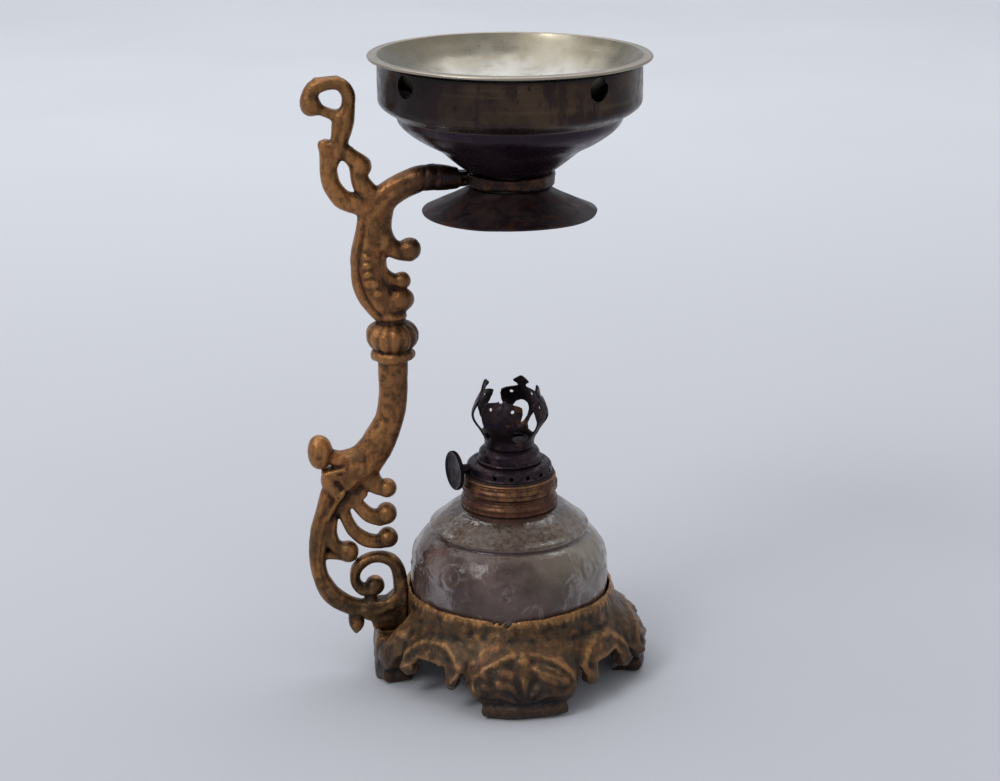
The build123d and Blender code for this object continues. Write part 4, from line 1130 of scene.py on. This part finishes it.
def vapor_pan():
    """The spun dish, with a rolled rim."""
    low, high = box_mm("vapor_pan")
    floor, radius = low[2], high[0]
    dish = curve([(33.1, 164.55), (32.4, 163.4), (31.2, 161.8), (28.4, 158.6), (23.4, 155.4), (16.0, 153.5),
                  (8.0, floor + 0.1), (0, floor)], 0.6)
    bead = [(radius - 0.55 + 0.5 * math.cos(a), 164.62 + 0.42 * math.sin(a))
            for a in np.linspace(2.4, -2.4, 15)]
    outline = np.vstack([[(34.5, 164.15), (33.6, 164.2)], dish, dish[::-1] + np.array([0, 0.5]),
                         [(33.6, 164.95), (34.6, 164.92)], bead])
    pan = turned("pan", outline, "pan", 224, drifting(0.16, 34.0, 41), 30)
    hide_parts("vapor_pan")
    paint(pan, pan_material())


# ------------------------------------------------------------------- the studio
def crown():
    """The chimney gallery: four spring prongs with wide bodies, pinholes and spade tips."""
    low, high = box_mm("chimney_gallery")
    tip = high[2]
    cast = Casting((-11.4, -11.4, low[2] - 0.8), (11.4, 11.4, tip + 0.8), 0.15)
    slices, (x, y, z) = cast.whole()
    rise, wide = curve([(low[2], 6.2), (64.6, 6.4), (66.6, 7.5), (69.4, 9.4), (71.4, 9.8), (74.2, 8.9),
                        (76.6, 7.7), (tip, 7.0)], 0.2).T
    away = np.hypot(x, y)
    angle = np.arctan2(y, x)
    # each prong leans and twists a little its own way
    bent = smooth_step(66, 79, z)
    turn = angle - math.radians(-113.5) + bent * (0.10 * np.sin(angle + 0.4) + 0.05 * np.sin(2 * angle))
    local = turn - np.round(turn / QUARTER) * QUARTER
    radius = np.interp(z[0, 0, :], rise, wide).astype(np.float32)[None, None, :]
    radius = radius * (1 + bent * (0.06 * np.sin(angle + 1.0) - 0.05 * np.sin(2 * angle + 0.6)))
    outline = [(0.3, tip - 0.1), (1.4, 78.6), (2.25, 77.95), (2.2, 77.5), (1.4, 77.0), (1.1, 76.6),
               (1.25, 76.2), (2.4, 75.9), (4.2, 75.5), (5.3, 75.0), (5.7, 73.6), (5.5, 71.8), (4.6, 69.9),
               (3.5, 68.0), (3.0, 66.4), (3.6, 65.3), (5.6, 64.9), (5.6, low[2])]
    window = [(0.4, 71.8), (1.6, 71.2), (2.4, 69.8), (2.4, 68.2), (1.7, 66.8), (0.6, 66.2)]

    def both_sides(half):
        return np.array(half + [(-a, b) for a, b in half[::-1]])

    # one prong is solid and has lost its tip, and the one to its left stands over to one side
    solid = np.cos(turn) > 0.72
    never = 100.0
    along = local * radius + 1.5 * (np.sin(turn) < -0.72) * smooth_step(68, 72, z)
    broken = z - 76.3 - 0.35 * np.sin(3.0 * along) + never * (solid - 1)
    shown = np.maximum(inside_distance(both_sides(outline), along, z),
                       -inside_distance(both_sides(window), along, z) - never * solid)
    shown = np.maximum(shown, broken)
    shown = np.maximum(shown, 0.42 - np.hypot(np.abs(along) - 2.9, z - 74.2))
    thin = np.abs(away - radius) * 0.85 - 0.24
    cast.join(slices, np.hypot(shown.clip(-0.1) + 0.1, thin.clip(-0.1) + 0.1) - 0.1
              + np.minimum(np.maximum(shown, thin) + 0.1, 0), 0.05)
    piece = add_casting("crown", cast, "burner")
    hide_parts("chimney_gallery")
    s = worn_brass("black gallery", srgb(44, 31, 36), srgb(28, 19, 28), srgb(14, 9, 14))
    s.coat(s.noise(2.6, 5), 0.56, 0.70, srgb(92, 62, 36), 0.7)
    paint(piece, s.finish(0.8))


def knob():
    """The milled thumb wheel, dished on its face, on its shaft."""
    low, high = box_mm("wick_knob")
    centre = (low + high) / 2
    centre[2] = sum(corner[2] for corner in box_mm("wick_shaft")) / 2
    radius = (high[2] - low[2]) / 2
    outline = np.vstack([
        [(0, -0.35), (1.3, -0.38), (1.6, -0.1)],
        curve([(2.4, -0.1), (3.8, -0.22), (radius - 0.5, -0.5)], 0.3),
        [(radius - 0.15, -0.52), (radius, -0.35), (radius, 0.35), (radius - 0.15, 0.52)],
        curve([(radius - 0.5, 0.5), (3.8, 0.2), (1.8, 0.05), (0, 0.0)], 0.3)])

    def milled(points):
        moved = points.copy()
        away = np.hypot(points[:, 0], points[:, 1])
        turn = np.arctan2(points[:, 1], points[:, 0])
        bite = 0.22 * (0.5 + 0.5 * np.cos(turn * MILLING_TEETH)) * smooth_step(radius - 0.3, radius, away)
        moved[:, :2] *= (1 - bite / np.maximum(away, 1))[:, None]
        return moved

    piece = turned("knob_wheel", outline, "knob", 8 * MILLING_TEETH, milled, 30, centre,
                   knob_axis())
    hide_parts("wick_knob")
    s = worn_brass("knob brass", srgb(38, 28, 34), srgb(28, 20, 27), srgb(15, 11, 15))
    s.coat(s.noise(1.8, 5), 0.60, 0.74, srgb(50, 38, 36), 0.5)
    paint(piece, s.finish(0.92))


def studio():
    """Pale cloth that runs up into a backdrop, and soft light from above and behind."""
    half_width = 2.4
    profile = [(-0.9, 0.0)] + [(1.3 + 0.5 * math.sin(a), 0.5 - 0.5 * math.cos(a))
                               for a in np.linspace(0, math.pi / 2, 14)] + [(1.8, 2.0)]
    points = [(x, y, z) for x in (-half_width, half_width) for y, z in profile]
    count = len(profile)
    faces = [(k, k + 1, count + k + 1, count + k) for k in range(count - 1)]
    mesh = bpy.data.meshes.new("backdrop")
    mesh.from_pydata(points, [], faces)
    mesh.shade_smooth()
    floor = bpy.data.objects.new("backdrop", mesh)
    bpy.context.collection.objects.link(floor)
    s = Surface("pale cloth")
    # painted light: the cloth is painted darker at the front and lighter towards the back
    s.body = s.mix(s.ramp(s.axis("Y"), -150.0, 900.0), srgb(190, 192, 200), srgb(224, 227, 233))
    s.coat(s.noise(220.0, 2), 0.3, 0.7, srgb(210, 212, 219), 0.25)
    s.roughness = 0.92
    s.bump(s.noise(0.9, 3), 0.08, 0.0002)
    paint(floor, s.finish())

    def area(name, place, target, width, height, power, color=(1, 1, 1)):
        light = bpy.data.lights.new(name, "AREA")
        light.shape, light.size, light.size_y = "RECTANGLE", width, height
        light.energy, light.color = power, color
        lamp = bpy.data.objects.new(name, light)
        bpy.context.collection.objects.link(lamp)
        lamp.location = place
        lamp.rotation_euler = (Vector(target) - Vector(place)).to_track_quat("-Z", "Y").to_euler()

    area("sky", (-0.1, 0.55, 1.5), (0, 0.25, 0.0), 2.2, 1.8, 15.0, (0.97, 0.98, 1.0))
    area("window", (-0.75, -0.6, 1.0), (0, 0, 0.08), 0.45, 0.45, 4.5)
    world = bpy.data.worlds.new("studio")
    world.use_nodes = True
    glow = world.node_tree.nodes["Background"]
    glow.inputs["Color"].default_value = (0.885, 0.892, 0.905, 1)
    glow.inputs["Strength"].default_value = 0.545
    bpy.context.scene.world = world
    bpy.context.scene.view_settings.view_transform = "Standard"


def camera():
    """The photograph's viewpoint: a little above the dish, the bracket to the left."""
    data = bpy.data.cameras.new("camera")
    data.lens, data.sensor_width = 79.2, 36.0
    view = bpy.data.objects.new("camera", data)
    bpy.context.collection.objects.link(view)
    view.location = Vector((-61.2, -540.9, 252.5)) * MM
    look = Vector((0.1028, 0.9464, -0.3065))
    view.rotation_euler = look.to_track_quat("-Z", "Y").to_euler()
    data.clip_start = 0.01
    bpy.context.scene.camera = view


def main():
    camera()
    studio()
    bracket = bracket_arm()
    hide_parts("bracket_arm")
    paint(bracket, bracket_material())
    base = base_casting()
    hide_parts("base_casting")
    paint(base, base_material())
    glass_font()
    font_collar()
    burner()
    vaporizer()
    vapor_pan()
    crown()
    knob()
    repaint("wick_shaft", plain_worn_brass(
        "shaft steel", srgb(80, 70, 64), srgb(54, 46, 44), srgb(30, 25, 26)))
    repaint("wick_wheels", plain_worn_brass(
        "wheel brass", srgb(150, 116, 66), srgb(100, 76, 48), srgb(44, 34, 28)))
    repaint("collar_plaster", chalky("plaster", srgb(206, 198, 182), srgb(168, 158, 142)))
    repaint("burner_gasket", chalky("oily leather", srgb(52, 36, 26), srgb(30, 21, 17), 0.8))
    repaint("wick", wick_material(box_mm("wick")[1][2]))


main()
